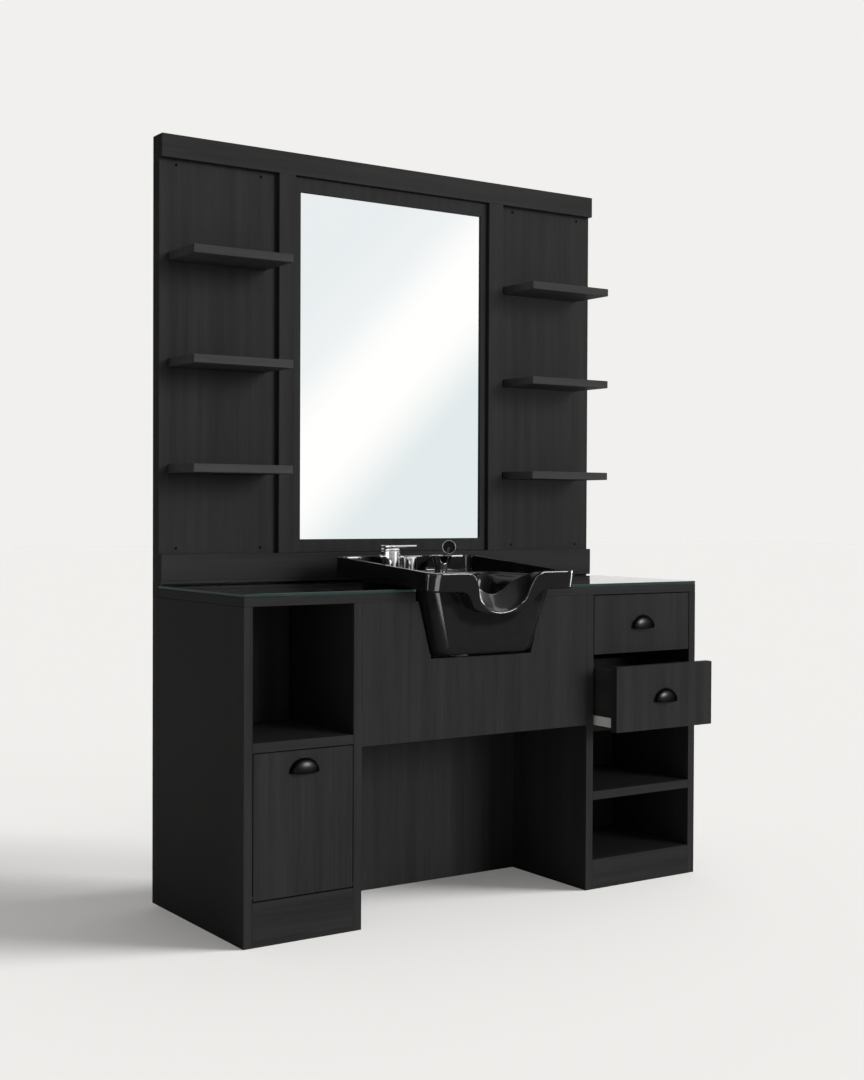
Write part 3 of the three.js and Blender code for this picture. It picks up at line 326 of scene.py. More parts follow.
def mottled(name, scale, detail, dark, light, rough=None, relief=None, plain=()):
    """A finish that follows a fine mottle in colour, roughness and relief, or pebbles if it has no detail."""
    finish, tree, shader, place = new_finish(name, plain)
    if detail is None:
        pebbles = {"Vector": place, "Scale": scale}
        tone = gives(tree, "ShaderNodeTexVoronoi", pebbles, feature="SMOOTH_F1")
    else:
        size = {"Place": place, "Scale": scale, "Detail": detail}
        tone = gives(tree, "ShaderNodeGroup", size, node_tree=mottle)
    colour = add(tree, "ShaderNodeValToRGB", {"Fac": tone})
    colour.color_ramp.elements[0].color = (*dark, 1)
    colour.color_ramp.elements[1].color = (*light, 1)
    tree.links.new(colour.outputs["Color"], shader.inputs["Base Color"])
    if rough:
        worn = {"Value": tone, "To Min": rough[0], "To Max": rough[1]}
        tree.links.new(gives(tree, "ShaderNodeMapRange", worn), shader.inputs["Roughness"])
    if relief:
        bumps = {"Height": tone, "Strength": relief[0], "Distance": relief[1]}
        tree.links.new(gives(tree, "ShaderNodeBump", bumps), shader.inputs["Normal"])
    return finish


see_through = {"Transmission Weight": 1, "IOR": 1.5, "Roughness": 0.02}
clear_glass = mottled("clear_glass", 7, 4, (0.86, 0.93, 0.91), (0.92, 0.97, 0.955), plain=see_through)
deep_green, sea_green = (0.010, 0.026, 0.0245), (0.020, 0.047, 0.0445)
glass_edge = mottled("glass_edge", 16, 2, deep_green, sea_green, plain={"Roughness": 0.12})


def drawn_out(shape, corners, by):
    """A prism added to the shape: a flat loop of corners drawn out by a vector."""
    end = shape.faces.new([shape.verts.new(corner) for corner in corners])
    drawn = bmesh.ops.extrude_face_region(shape, geom=[end])["geom"]
    far_verts = [part for part in drawn if isinstance(part, bmesh.types.BMVert)]
    bmesh.ops.translate(shape, verts=far_verts, vec=by)
    bmesh.ops.recalc_face_normals(shape, faces=shape.faces)


def finished(shape, name, *materials):
    """The mesh of a shape that needs no more work, with its materials on."""
    mesh = bpy.data.meshes.new(name)
    shape.to_mesh(mesh)
    shape.free()
    for material in materials:
        mesh.materials.append(material)
    return mesh


def new_piece(name, mesh, body, node=None):
    """An object for a finished mesh, riding on its body, in place of its CAD node where there is one."""
    piece = bpy.data.objects.new(name, mesh)
    scene.collection.objects.link(piece)
    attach(piece, body)
    if node:
        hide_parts(node)
    return piece


shape = bmesh.new()
sheet_low = glass_low.z + sheet_gap
drawn_out(shape, [(x, y, sheet_low) for x, y in plan], (0, 0, glass_high.z - sheet_low))
pairs = [(e, e.link_faces) for e in shape.edges if len(e.link_faces) == 2]
rims = [e for e, (one, other) in pairs if abs(one.normal.dot(other.normal)) < 0.5]
bmesh.ops.bevel(shape, geom=rims, offset=polished_arris, segments=2, profile=0.5, affect="EDGES")
for face in shape.faces:
    face.material_index = 0 if abs(face.normal.z) > 0.99 else 1
sheet = finished(shape, "glass_sheet", clear_glass, glass_edge)
new_piece("glass_sheet", sheet, "station", "glass_top")


# The mirror wall: two full-height bay boards and a backer, with rails and stiles planted on over the joints.
# A thin bead under the bottom rail closes down on the glass.
# The silvered mirror stands in a slim wooden frame, rebated from behind.
wall_boards = ("left_bay_panel", "right_bay_panel", "left_stile", "right_stile")
for name in (*wall_boards, "mirror_frame", "mirror_backer"):
    dress_node(name, wood_upright)
for name in ("top_rail", "bottom_rail"):
    dress_node(name, wood_level, arris=0.0015)
sill_low, sill_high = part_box("bottom_rail")
bead_gap, bead_round, bead_back = 0.003, 0.003, 0.001
bead_front, bead_foot = sill_low.y + bead_back, glass_high.z + bead_gap
bead_profile = [(sill_high.y, sill_low.z), (bead_front, sill_low.z)]
for angle in range(180, 271, 15):
    y = bead_front + bead_round * (1 + math.cos(math.radians(angle)))
    bead_profile.append((y, bead_foot + bead_round * (1 + math.sin(math.radians(angle)))))
bead_profile.append((sill_high.y, bead_foot))
shape = bmesh.new()
drawn_out(shape, [(sill_low.x, y, z) for y, z in bead_profile], (sill_high.x - sill_low.x, 0, 0))
new_piece("rail_bead", finished(shape, "rail_bead", wood_level), "station")

# The mirror is bright metal, and its base colour also carries a painted reflection: a pale bluish sweep on a
# slant, whitest in a band across its middle.
silvering_painted_glare, tree, shader, place = new_finish("silvering_painted_glare", {"Metallic": 1, "Roughness": 0})
glare_slant, glare_start = (0.7, 0, -0.714), 1.578
painted_glare = add(tree, "ShaderNodeValToRGB", {"Fac": maths(tree, "ADD", along(tree, place, glare_slant), glare_start)})
painted_glare.color_ramp.interpolation = "EASE"
painted_glare.color_ramp.elements[0].position, painted_glare.color_ramp.elements[0].color = 0.12, (0.80, 0.845, 0.875, 1)
painted_glare.color_ramp.elements[1].position, painted_glare.color_ramp.elements[1].color = 0.76, (0.755, 0.82, 0.845, 1)
for position, shade in ((0.26, (0.84, 0.88, 0.91, 1)), (0.44, (0.99, 1, 1, 1)), (0.55, (0.99, 1, 1, 1))):
    painted_glare.color_ramp.elements.new(position).color = shade
tree.links.new(painted_glare.outputs["Color"], shader.inputs["Base Color"])
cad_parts["mirror_glass"].material_slots[0].material = silvering_painted_glare


# Six plain shelves, three to a bay, each a solid board let into a housing in the bay board behind it.
# Their arrises are sanded a little rounder than those of the carcass.
# The shelves wear a lighter copy of the stained wood: painted light that stands in for their fronts catching
# the lamp.
lit_shelf_dark, lit_shelf_light = (0.026, 0.026, 0.0262), (0.050, 0.050, 0.0504)
shelf_wood_painted_lit = stained_wood("shelf_wood_painted_lit", (0, 90, 0), lit_shelf_dark, lit_shelf_light, 0.42)
for side in ("left", "right"):
    for level in ("upper", "middle", "lower"):
        board = dress_node(f"{side}_shelf_{level}", shelf_wood_painted_lit, arris=0.0016)
        board.visible_glossy = side == "left"


# Two drawers: a wooden front screwed to a dark box, which runs on painted roller runners.
# The fronts stand between the cabinet sides, and each has a black cup pull.
lining_dark, lining_light = (0.018, 0.0178, 0.0175), (0.034, 0.0335, 0.033)
box_lining = stained_wood("box_lining", (90, 0, 0), lining_dark, lining_light, 0.55)
paint_dark, paint_light = (0.50, 0.50, 0.495), (0.66, 0.66, 0.65)
coat = {"Coat Weight": 0.2}
runner_paint = mottled("runner_paint", 700, 2, paint_dark, paint_light, (0.32, 0.5), (0.1, 0.0002), coat)
iron_dark, iron_light = (0.006, 0.006, 0.006), (0.010, 0.010, 0.010)
dark_iron = {"Metallic": 1, "Specular Tint": (0.06, 0.06, 0.06, 1)}
black_metal = mottled("black_metal", 240, 3, iron_dark, iron_light, (0.34, 0.40), (0.06, 0.0003), dark_iron)

collar, plate_depth, pull_wall, brim, pull_arris = 0.0030, 0.002, 0.0022, 0.006, 0.0006


def cup_pull(node, body):
    """A half-moon cup, open below, with a collar all round where it meets the front it is screwed to."""
    low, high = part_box(node)
    middle, half, height = (low.x + high.x) / 2, (high.x - low.x) / 2, high.z - low.z
    face, out = high.y, high.y - low.y
    across, over = 40, 16
    shape = bmesh.new()

    def shell(shrink):
        rows = []
        for i in range(across + 1):
            theta = math.pi * (0.012 + 0.976 * i / across)
            row = []
            for j in range(over + 1):
                phi = math.pi / 2 * j / over
                x = -(half - collar - shrink) * math.cos(theta)
                y = -(out - shrink) * math.sin(theta) ** 0.8 * math.cos(phi) ** 0.9
                tucked = brim * (1 - math.sin(theta)) * math.cos(phi)
                z = tucked + (height - collar - shrink) * math.sin(theta) ** 0.9 * math.sin(phi) ** 0.9
                row.append(shape.verts.new((middle + x, face + y, low.z + z)))
            rows.append(row)
        return rows

    outer, inner = shell(0), shell(pull_wall)
    for i in range(across):
        for j in range(over):
            shape.faces.new((outer[i][j], outer[i][j + 1], outer[i + 1][j + 1], outer[i + 1][j]))
            shape.faces.new((inner[i][j], inner[i + 1][j], inner[i + 1][j + 1], inner[i][j + 1]))
        shape.faces.new((outer[i][0], outer[i + 1][0], inner[i + 1][0], inner[i][0]))
        shape.faces.new((outer[i][over], inner[i][over], inner[i + 1][over], outer[i + 1][over]))
    for i in (0, across):
        for j in range(over):
            shape.faces.new((outer[i][j], inner[i][j], inner[i][j + 1], outer[i][j + 1]))
    bow = [(half * math.cos(math.pi * k / 36), height * math.sin(math.pi * k / 36)) for k in range(37)]
    drawn_out(shape, [(middle + x, face, low.z + z) for x, z in bow], (0, -plate_depth, 0))
    crisp = [e for e in shape.edges if len(e.link_faces) == 2 and e.calc_face_angle() > math.radians(50)]
    bmesh.ops.bevel(shape, geom=crisp, offset=pull_arris, segments=2, profile=0.5, affect="EDGES")
    for side in shape.faces:
        side.smooth = True
    piece = new_piece(node + "_cup", finished(shape, node + "_cup", black_metal), body, node)
    piece.modifiers.new("facing", "WEIGHTED_NORMAL").keep_sharp = True
    pull_shine.objects.link(piece)
    return piece


for name in ("top_drawer", "lower_drawer"):
    dress_node(f"{name}_front", wood_upright, arris=0.0016)
    dress_node(f"{name}_box", box_lining, arris=0.0010)
    for side in ("left", "right"):
        dress_node(f"{name}_runner_{side}", runner_paint, arris=0.0003)
        dress_node(f"{name}_channel_{side}", runner_paint, arris=0.0003)
    cup_pull(f"{name}_pull", name)


# The hamper: a tilting door on two steel pins near its foot, with a moulded bin screwed to its back.
# Its pull is the same cup as on the drawers.
soot, coal = (0.010, 0.010, 0.0105), (0.016, 0.016, 0.0165)
bin_plastic = mottled("bin_plastic", 900, None, soot, coal, (0.42, 0.58), (0.2, 0.0003))
dress_node("hamper_door", wood_upright, arris=0.0014)
dress_node("hamper_bin", bin_plastic)
dress_node("hamper_pin_left", runner_paint, arris=0.0003)
dress_node("hamper_pin_right", runner_paint, arris=0.0003)
cup_pull("hamper_pull", "hamper")


# The shampoo bowl: one deep moulding in glossy black plastic, leaning forward, with a neck rest in front.
# A level deck at its rear carries the tap, and a wedge on the glass takes the weight of the rear flange.
bowl_low, bowl_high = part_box("bowl")
bowl_place = Vector(((bowl_low.x + bowl_high.x) / 2, glass_low.y, glass_high.z))
lean, foot = 0.04, 0.115
neck_half, neck_shoulder = 0.082, 0.046
neck_end = neck_half + neck_shoulder
rim_front, rim_rear, deck_height = 0.045, 0.058, 0.030
lip_low, lip_front, ridge_low, ridge_front = -0.064, -0.094, -0.018, -0.046
skirt_low, saddle, flank, flange_front = -0.005, 0.008, 0.022, -0.03
tub_low, floor_high, drain_y = -0.184, -0.166, 0.111
drain_radius, seat_radius, seat_height = 0.0245, 0.0355, -0.1601
outline = dict(half=0.243, front=-0.115, rear=0.400, corner=0.036)
rim_inside = dict(half=0.228, front=-0.100, rear=0.385, corner=0.030)
basin_mouth = dict(half=0.226, front=-0.098, rear=0.271, corner=0.040)
tub_top = dict(half=0.213, front=-0.052, rear=0.279, corner=0.045)
tub_foot = dict(half=0.165, front=-0.040, rear=0.259, corner=0.045)
front_count, corner_steps, side_steps = 41, 8, 14


def inset(loop, by):
    return {**loop, "half": loop["half"] - by, "front": loop["front"] + by, "rear": loop["rear"] - by}


def rounded_loop(half, front, rear, corner):
    """Points round a rounded rectangle, from the left end of its front; every loop has as many."""
    flat = half - corner
    notch = min(neck_end, 0.75 * flat)
    left_run, right_run = np.linspace(-flat, -notch, 5)[:-1], np.linspace(notch, flat, 5)[1:]
    middle_run = np.linspace(-notch, notch, front_count - 8)
    points = [(x, front) for x in np.concatenate([left_run, middle_run, right_run])]
    near, far = front + corner, rear - corner
    turns = [(flat, near, -90), (flat, far, 0), (-flat, far, 90), (-flat, near, 180)]
    for number, (x, y, start) in enumerate(turns):
        for step in range(1, corner_steps + 1):
            angle = math.radians(start + 90 * step / corner_steps)
            points.append((x + corner * math.cos(angle), y + corner * math.sin(angle)))
        if number < 3:
            next_x, next_y, next_start = turns[number + 1]
            angle = math.radians(next_start)
            begin = np.array(points[-1])
            end = np.array((next_x + corner * math.cos(angle), next_y + corner * math.sin(angle)))
            points += [tuple(begin + (end - begin) * step / side_steps) for step in range(1, side_steps + 1)]
    return np.array(points[:-1])


def bezier(points, count=60):
    t = np.linspace(0, 1, count)[:, None]
    a, b, c, d = [np.array(p) for p in points]
    return a * (1 - t) ** 3 + 3 * b * t * (1 - t) ** 2 + 3 * c * t**2 * (1 - t) + d * t**3


def neck_height(x, half, high, low):
    """The neck rest seen from the front: a dip, a waist and a rounded shoulder on each side."""
    waist, shoulder = low + (high - low) * 0.55, neck_shoulder * 0.24
    dip_curve = bezier([(0, low), (half * 0.44, low), (half, low + (waist - low) * 0.4), (half, waist)])
    over = (half + shoulder, waist + (high - waist) * 0.68)
    rise = bezier([(half, waist), over, (half + 2 * shoulder, high), (half + neck_shoulder, high)])
    curve = np.concatenate([dip_curve, rise[1:]])
    return np.interp(np.abs(x), curve[:, 0], curve[:, 1])


def ring(loop, height):
    flat = rounded_loop(**loop) if isinstance(loop, dict) else loop
    return np.column_stack([flat, np.broadcast_to(height, len(flat))]).astype(float)


def level_height(y, height):
    """The height in the leaning bowl of what is level once it leans."""
    return (height - (y + foot) * math.sin(lean)) / math.cos(lean)


def rim_height(y):
    return rim_front + (rim_rear - rim_front) * (y - outline["front"]) / (outline["rear"] - outline["front"])


def drain_circle(radius):
    about = rounded_loop(**tub_foot) - (0, drain_y)
    return about / np.linalg.norm(about, axis=1)[:, None] * radius + (0, drain_y)


def on_face(loop):
    """A ring with its front set back on the leaning face, which eases out round the corners."""
    share = np.clip((outline["front"] + outline["corner"] - loop[:, 1]) / outline["corner"], 0, 1)
    loop[:, 1] += share * (lip_front - outline["front"]) / (rim_front - lip_low) * (rim_front - loop[:, 2])
    return loop


fore = slice(0, front_count)
outer_plan = rounded_loop(**outline)
skirt = ring(outer_plan, np.where(outer_plan[:, 1] < flange_front, skirt_low, 0.0006))
skirt[fore, 2] = neck_height(skirt[fore, 0], neck_half + flank, skirt_low, lip_low - saddle)
skirt = on_face(skirt)
rim_outer = ring(outer_plan, rim_height(outer_plan[:, 1]))
rim_outer[fore, 2] = neck_height(rim_outer[fore, 0], neck_half, rim_front, lip_low)
rim_outer = on_face(rim_outer)
inner_plan = rounded_loop(**rim_inside)
rim_inner = ring(inner_plan, rim_height(inner_plan[:, 1]))
from_middle = np.abs(rim_inner[fore, 0])
in_neck = 1 - np.clip((from_middle - 0.06) / (neck_end - 0.06), 0, 1)
in_neck = in_neck**2 * (3 - 2 * in_neck)
rim_inner[fore, 1] += (ridge_front - rim_inside["front"]) * in_neck
dip_share = 0.5 + 0.5 * np.cos(math.pi * np.clip(from_middle / neck_end, 0, 1))
rim_inner[fore, 2] += (ridge_low - rim_front) * dip_share
neck_roll = []
for share, reach, climb in ((0.35, lip_front + 0.011, 0.08), (0.65, ridge_front - 0.016, 0.62)):
    loop = rim_outer + (rim_inner - rim_outer) * share
    climbed = rim_outer[fore, 2] + (rim_inner[fore, 2] - rim_outer[fore, 2]) * climb
    loop[fore, 1] += (reach - loop[fore, 1]) * in_neck
    loop[fore, 2] += (climbed - loop[fore, 2]) * in_neck
    neck_roll.append(loop)

tub_join = ring(tub_top, 0.0012)
tub_join[:, 2] = np.where(tub_join[:, 1] < flange_front, skirt_low, 0.0012)
tub_join[fore, 2] = neck_height(tub_join[fore, 0], neck_half + flank, skirt_low, lip_low - saddle)
tub_join[fore, 1] = np.interp(tub_join[fore, 2], [tub_low + 0.010, 0], [tub_foot["front"], tub_top["front"]])

deck_rear = ring(inner_plan, level_height(inner_plan[:, 1], deck_height))
mouth_plan = rounded_loop(**basin_mouth)
deck_edge = ring(mouth_plan, level_height(mouth_plan[:, 1], deck_height) - 0.002)
rear_start = front_count + corner_steps + side_steps
deck_edge[rear_start : rear_start + 2 * corner_steps + side_steps, 2] += 0.002
below_edge = ring(inset(basin_mouth, 0.003), np.minimum(0.021, deck_edge[:, 2] - 0.006))
throat = ring(inset(tub_top, 0.008), 0.0)
for number, loop in enumerate((deck_rear, deck_edge, below_edge, throat)):
    loop[fore, 2] = np.minimum(loop[fore, 2], rim_inner[fore, 2] - 0.006 * (number + 1))
    wall = np.interp(loop[fore, 2], [tub_low + 0.028, 0, 0.021, 0.03], [-0.032, -0.044, -0.098, -0.0995])
    loop[fore, 1] = np.maximum(wall, rim_inner[fore, 1] + 0.002 * (number + 1))
drain_plan, seat_plan = drain_circle(drain_radius), drain_circle(seat_radius)
bowl_profile = [
    (ring(drain_plan, tub_low), 0.001),
    (ring(inset(tub_foot, 0.010), tub_low), 0.008),
    (ring(tub_foot, tub_low + 0.010), 0.012),
    (tub_join, 0.006),
    (skirt, 0.004),
    (rim_outer, 0.010),
    (neck_roll[0], 0.012),
    (neck_roll[1], 0.012),
    (rim_inner, 0.006),
    (deck_rear, 0.005),
    (deck_edge, 0.007),
    (below_edge, 0.010),
    (throat, 0.02),
    (ring(inset(tub_foot, 0.008), tub_low + 0.028), 0.02),
    (ring(inset(tub_foot, 0.018), floor_high), 0.02),
    (ring(seat_plan, floor_high), 0.002),
    (ring(seat_plan, level_height(seat_plan[:, 1], seat_height)), 0.0008),
    (ring(drain_plan, level_height(drain_plan[:, 1], seat_height)), 0.0008),
]


def eased(profile, closed, steps=4):
    """The rings of a profile with each corner rounded off by an arc that starts and ends that far from it.

    A ring on each side of an arc keeps the flats flat in the light."""
    rings = []
    last = len(profile) - 1
    for number, (here, size) in enumerate(profile):
        if not closed and number in (0, last):
            rings.append(here)
            continue
        before, after = profile[number - 1][0], profile[(number + 1) % len(profile)][0]
        arms, holds = [], []
        for other in (before, after):
            arm = other - here
            length = np.linalg.norm(arm, axis=1)[:, None]
            arm /= np.maximum(length, 1e-9)
            arms.append(arm * np.minimum(size, 0.45 * length))
            holds.append(here + arm * np.minimum(size * 1.2, 0.49 * length))
        arc = [here + arms[0] * (1 - t) ** 2 + arms[1] * t**2 for t in np.linspace(0, 1, steps + 1)]
        rings += [holds[0], *arc, holds[1]]
    return np.array(rings)


def skinned(name, rings, closed, material):
    """A smooth mesh over rings of equal count, each a closed loop."""
    shape = bmesh.new()
    rows = [[shape.verts.new(point) for point in loop] for loop in rings]
    count = len(rows[0])
    pairs = list(zip(rows, rows[1:])) + ([(rows[-1], rows[0])] if closed else [])
    for lower, upper in pairs:
        for i in range(count):
            shape.faces.new((lower[i], lower[(i + 1) % count], upper[(i + 1) % count], upper[i]))
    if not closed:
        shape.faces.new(rows[0][::-1])
        shape.faces.new(rows[-1])
    bmesh.ops.remove_doubles(shape, verts=shape.verts, dist=0.00001)
    bmesh.ops.recalc_face_normals(shape, faces=shape.faces)
    for face in shape.faces:
        face.smooth = True
    return finished(shape, name, material)


jet, pitch = (0.0068, 0.0068, 0.0070), (0.0098, 0.0098, 0.0100)
low_shine = {"Specular IOR Level": 0.16}
bowl_gloss = mottled("bowl_gloss", 28, 3, jet, pitch, (0.09, 0.15), (0.05, 0.001), low_shine)
to_foot, from_foot = Matrix.Translation((0, foot, 0)), Matrix.Translation(bowl_place + Vector((0, -foot, 0)))
bowl_mesh = skinned("bowl_moulding", eased(bowl_profile, closed=True), True, bowl_gloss)
bowl_mesh.transform(from_foot @ Matrix.Rotation(lean, 4, "X") @ to_foot)
bowl = new_piece("bowl_moulding", bowl_mesh, "station", "bowl")
bowl.modifiers.new("facing", "WEIGHTED_NORMAL").keep_sharp = True
black_gloss.objects.link(bowl)
bowl_light.light_linking.receiver_collection = black_gloss
key_reach = key_light.light_linking.receiver_collection
key_reach.objects.link(bowl)
for held in key_reach.collection_objects:
    held.light_linking.link_state = "EXCLUDE"
dress_node("bowl_wedge", bin_plastic, arris=0.001)


# The waste: a chromed strainer in the bowl's drain, and a plastic trap that runs to the service wall.
# The strainer's plate is pierced by a hole and two rings of holes; three slip nuts hold the trap together.
bright_dark, bright_light = (0.66, 0.665, 0.675), (0.78, 0.785, 0.79)
chrome = mottled("chrome", 90, 4, bright_dark, bright_light, (0.03, 0.10), plain={"Metallic": 1})
pipe_plastic = mottled("pipe_plastic", 40, 3, (0.60, 0.595, 0.57), (0.72, 0.715, 0.69), (0.36, 0.5))


def turned_mesh(name, profile, place, material, turn=Matrix.Identity(4), closed=False, sides=72):
    """A turned shape from [radius, height, rounding] points, solid or a ring closed on itself, in place."""
    around = np.linspace(0, 2 * math.pi, sides + 1)[:-1]
    circle = np.column_stack([np.cos(around), np.sin(around), np.zeros(sides)])
    rings = [(circle * max(radius, 0.0004) + (0, 0, height), size) for radius, height, size in profile]
    mesh = skinned(name, eased(rings, closed), closed, material)
    mesh.transform(Matrix.Translation(place) @ turn)
    return mesh


def chromed(name, mesh, body, node=None):
    """A chrome piece, smooth in the light, which the reflectors shine on."""
    piece = new_piece(name, mesh, body, node)
    piece.modifiers.new("facing", "WEIGHTED_NORMAL")
    chrome_work.objects.link(piece)


def box_foot(node):
    low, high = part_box(node)
    return Vector(((low.x + high.x) / 2, (low.y + high.y) / 2, low.z)), (high.x - low.x) / 2, high.z - low.z


tail_foot, flange, tall = box_foot("drain_strainer")
tail, plate_sink, throat_radius, flange_deep = 0.0237, 0.004, 0.0215, 0.0027
ring_profile = [(throat_radius, 0, 0.0004), (tail, 0, 0.0004), (tail, tall - flange_deep, 0.0004)]
ring_profile += [(flange, tall - flange_deep, 0.0004), (flange - 0.002, tall - 0.0004, 0.001)]
ring_profile += [(flange - 0.006, tall, 0.002), (tail + 0.001, tall - 0.0012, 0.002)]
ring_profile += [(throat_radius, tall - plate_sink, 0.0004)]
strainer = turned_mesh("strainer_ring", ring_profile, tail_foot, chrome, closed=True)
chromed("strainer_ring", strainer, "station", "drain_strainer")


def growing_tree(name, inputs):
    """A Geometry Nodes tree with these named inputs and a finish, and what they give."""
    inputs = {**inputs, "Finish": "Material"}
    made, given = new_group(name, "GeometryNodeTree", inputs, {"Geometry": "Geometry"})
    made.is_modifier = True
    return made, given


def rings_of_points(tree, gap, counts):
    """Points on rings about a middle, each ring a gap wider than the last and with its own count."""
    joined = add(tree, "GeometryNodeJoinGeometry")
    for number, count in enumerate(counts, 1):
        circle = {"Vertices": count, "Radius": maths(tree, "MULTIPLY", gap, float(number))}
        tree.links.new(gives(tree, "GeometryNodeMeshCircle", circle), joined.inputs[0])
    return joined


def end_tree(tree, geometry, finish):
    """The end of a tree: what is repeated made real, and its finish put on."""
    real = gives(tree, "GeometryNodeRealizeInstances", {"Geometry": geometry})
    done = gives(tree, "GeometryNodeSetMaterial", {"Geometry": real, "Material": finish})
    add(tree, "NodeGroupOutput", {"Geometry": done})


def grown(name, tree, base, values):
    """The mesh that a Geometry Nodes tree makes on a base mesh, with its named inputs set."""
    holder = bpy.data.objects.new(name + "_base", base)
    scene.collection.objects.link(holder)
    work = holder.modifiers.new("grow", "NODES")
    work.node_group = tree
    for item in tree.interface.items_tree:
        if item.in_out == "INPUT" and item.name in values:
            work[item.identifier] = values[item.name]
    bpy.context.view_layer.update()
    held = bpy.context.evaluated_depsgraph_get()
    mesh = bpy.data.meshes.new_from_object(holder.evaluated_get(held), depsgraph=held)
    mesh.name = name
    holder.modifiers.remove(work)
    bpy.data.objects.remove(holder)
    return mesh


plate_inputs = {"Plate Radius": "Float", "Plate Depth": "Float", "Hole Radius": "Float", "Ring Gap": "Float"}
pierced, given = growing_tree("pierced_plate", plate_inputs)
disc = {"Vertices": 64, "Radius": given["Plate Radius"], "Depth": given["Plate Depth"]}
plate = gives(pierced, "GeometryNodeMeshCylinder", disc)
drill_size = {"Vertices": 14, "Radius": given["Hole Radius"], "Depth": 0.02}
drill = gives(pierced, "GeometryNodeMeshCylinder", drill_size)
holes = rings_of_points(pierced, given["Ring Gap"], (6, 12))
pierced.links.new(gives(pierced, "GeometryNodeMeshLine", {"Count": 1}), holes.inputs[0])
drills = gives(pierced, "GeometryNodeInstanceOnPoints", {"Points": holes.outputs[0], "Instance": drill})
bits = gives(pierced, "GeometryNodeRealizeInstances", {"Geometry": drills})
drilled = gives(pierced, "GeometryNodeMeshBoolean", {"Mesh 1": plate, "Mesh 2": bits}, operation="DIFFERENCE")
end_tree(pierced, drilled, given["Finish"])
plate_values = {"Plate Radius": throat_radius + 0.0006, "Plate Depth": 0.0016, "Hole Radius": 0.0027}
plate_values |= {"Ring Gap": 0.0078, "Finish": chrome}
plate_mesh = grown("strainer_plate", pierced, bpy.data.meshes.new("strainer_blank"), plate_values)
plate_mesh.transform(Matrix.Translation(tail_foot + Vector((0, 0, tall - plate_sink - 0.0010))))
strainer_plate = new_piece("strainer_plate", plate_mesh, "station")
chrome_work.objects.link(strainer_plate)

trap_low, trap_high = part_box("drain_trap")
pipe, bend, outlet_rise, pipe_sides = 0.019, 0.040, 0.045, 40
pipe_x, drop_y = (trap_low.x + trap_high.x) / 2, trap_low.y + pipe
bend_z = trap_low.z + pipe + bend
outlet_z = bend_z + outlet_rise
elbow_y, elbow_z = drop_y + 3 * bend, outlet_z - bend
route = [(drop_y, trap_high.z), (drop_y, trap_high.z - 0.01), (drop_y, bend_z)]
for a in np.linspace(0, math.pi, 25)[1:]:
    route.append((drop_y + bend - bend * math.cos(a), bend_z - bend * math.sin(a)))
for a in np.linspace(0, math.pi / 2, 13):
    route.append((elbow_y - bend * math.cos(a), elbow_z + bend * math.sin(a)))
route.append((trap_high.y, outlet_z))
rings = []
for number, (y, z) in enumerate(route):
    before, after = route[max(number - 1, 0)], route[min(number + 1, len(route) - 1)]
    run = Vector((0, after[0] - before[0], after[1] - before[1])).normalized()
    side = Vector((1, 0, 0)).cross(run)
    section = []
    for a in np.linspace(0, 2 * math.pi, pipe_sides + 1)[:-1]:
        up = pipe * math.sin(a)
        section.append((pipe_x + pipe * math.cos(a), y + side.y * up, z + side.z * up))
    rings.append(section)
trap_mesh = skinned("trap_bend", rings, False, pipe_plastic)
trap_bend = new_piece("trap_bend", trap_mesh, "station", "drain_trap")
trap_bend.modifiers.new("facing", "WEIGHTED_NORMAL")
nut_wide, nut_top, nut_sides = 0.0255, 0.020, 8
nut_profile = [(pipe, 0, 0), (nut_wide, 0, 0.0008), (nut_wide, nut_top - 0.003, 0.0012)]
nut_profile += [(nut_wide - 0.002, nut_top, 0.0012), (pipe, nut_top, 0)]
upright, lying = Matrix.Identity(4), Matrix.Rotation(math.radians(-90), 4, "X")
for name, y, z, turn in (
    ("trap_nut_upper", drop_y, trap_high.z - 0.024, upright),
    ("trap_nut_middle", drop_y + 2 * bend, bend_z - 0.004, upright),
    ("trap_nut_outlet", elbow_y + bend + 0.004, outlet_z, lying),
):
    nut = turned_mesh(name, nut_profile, (pipe_x, y, z), pipe_plastic, turn, sides=nut_sides)
    for face in nut.polygons:
        face.use_smooth = False
    new_piece(name, nut, "station")


# The tap, all turned brass in bright chrome: a single-lever mixer, a domed hose outlet and a flared rest.
# The black hand sprayer leans in the rest with its face toward the front.
foot_at, flange, tall = box_foot("mixer_body")
column, chamfer = 0.028, 0.0015
column_profile = [(0, 0, 0), (flange, 0, 0.001), (flange, 0.004, 0.002), (column, 0.0042, 0.001)]
column_profile += [(column, tall - 0.001, 0.0008), (column - chamfer, tall, 0.0008), (0, tall, 0)]
column_mesh = turned_mesh("mixer_column", column_profile, foot_at, chrome)
chromed("mixer_column", column_mesh, "station", "mixer_body")
stem, button = 0.0035, 0.0055
knob_profile = [(0, 0, 0), (stem, 0, 0.0003), (stem, 0.005, 0.0005)]
knob_profile += [(button, 0.006, 0.001), (button, 0.012, 0.002), (0, 0.013, 0)]
knob_at = foot_at + Vector((-0.0275, -0.004, tall * 0.74))
knob_turn = Matrix.Rotation(math.radians(-90), 4, "Y")
knob = turned_mesh("mixer_knob", knob_profile, knob_at, chrome, knob_turn, sides=28)
chromed("mixer_knob", knob, "station")
foot_at, wide, tall = box_foot("mixer_cap")
cap_profile = [(0, 0, 0), (wide - 0.001, 0, 0.0008), (wide, 0.001, 0.0008)]
cap_profile += [(wide, tall * 0.62, 0.004), (wide * 0.88, tall, 0.003), (0, tall, 0)]
cap = turned_mesh("mixer_turning_cap", cap_profile, foot_at, chrome)
chromed("mixer_turning_cap", cap, "mixer_cap", "mixer_cap")

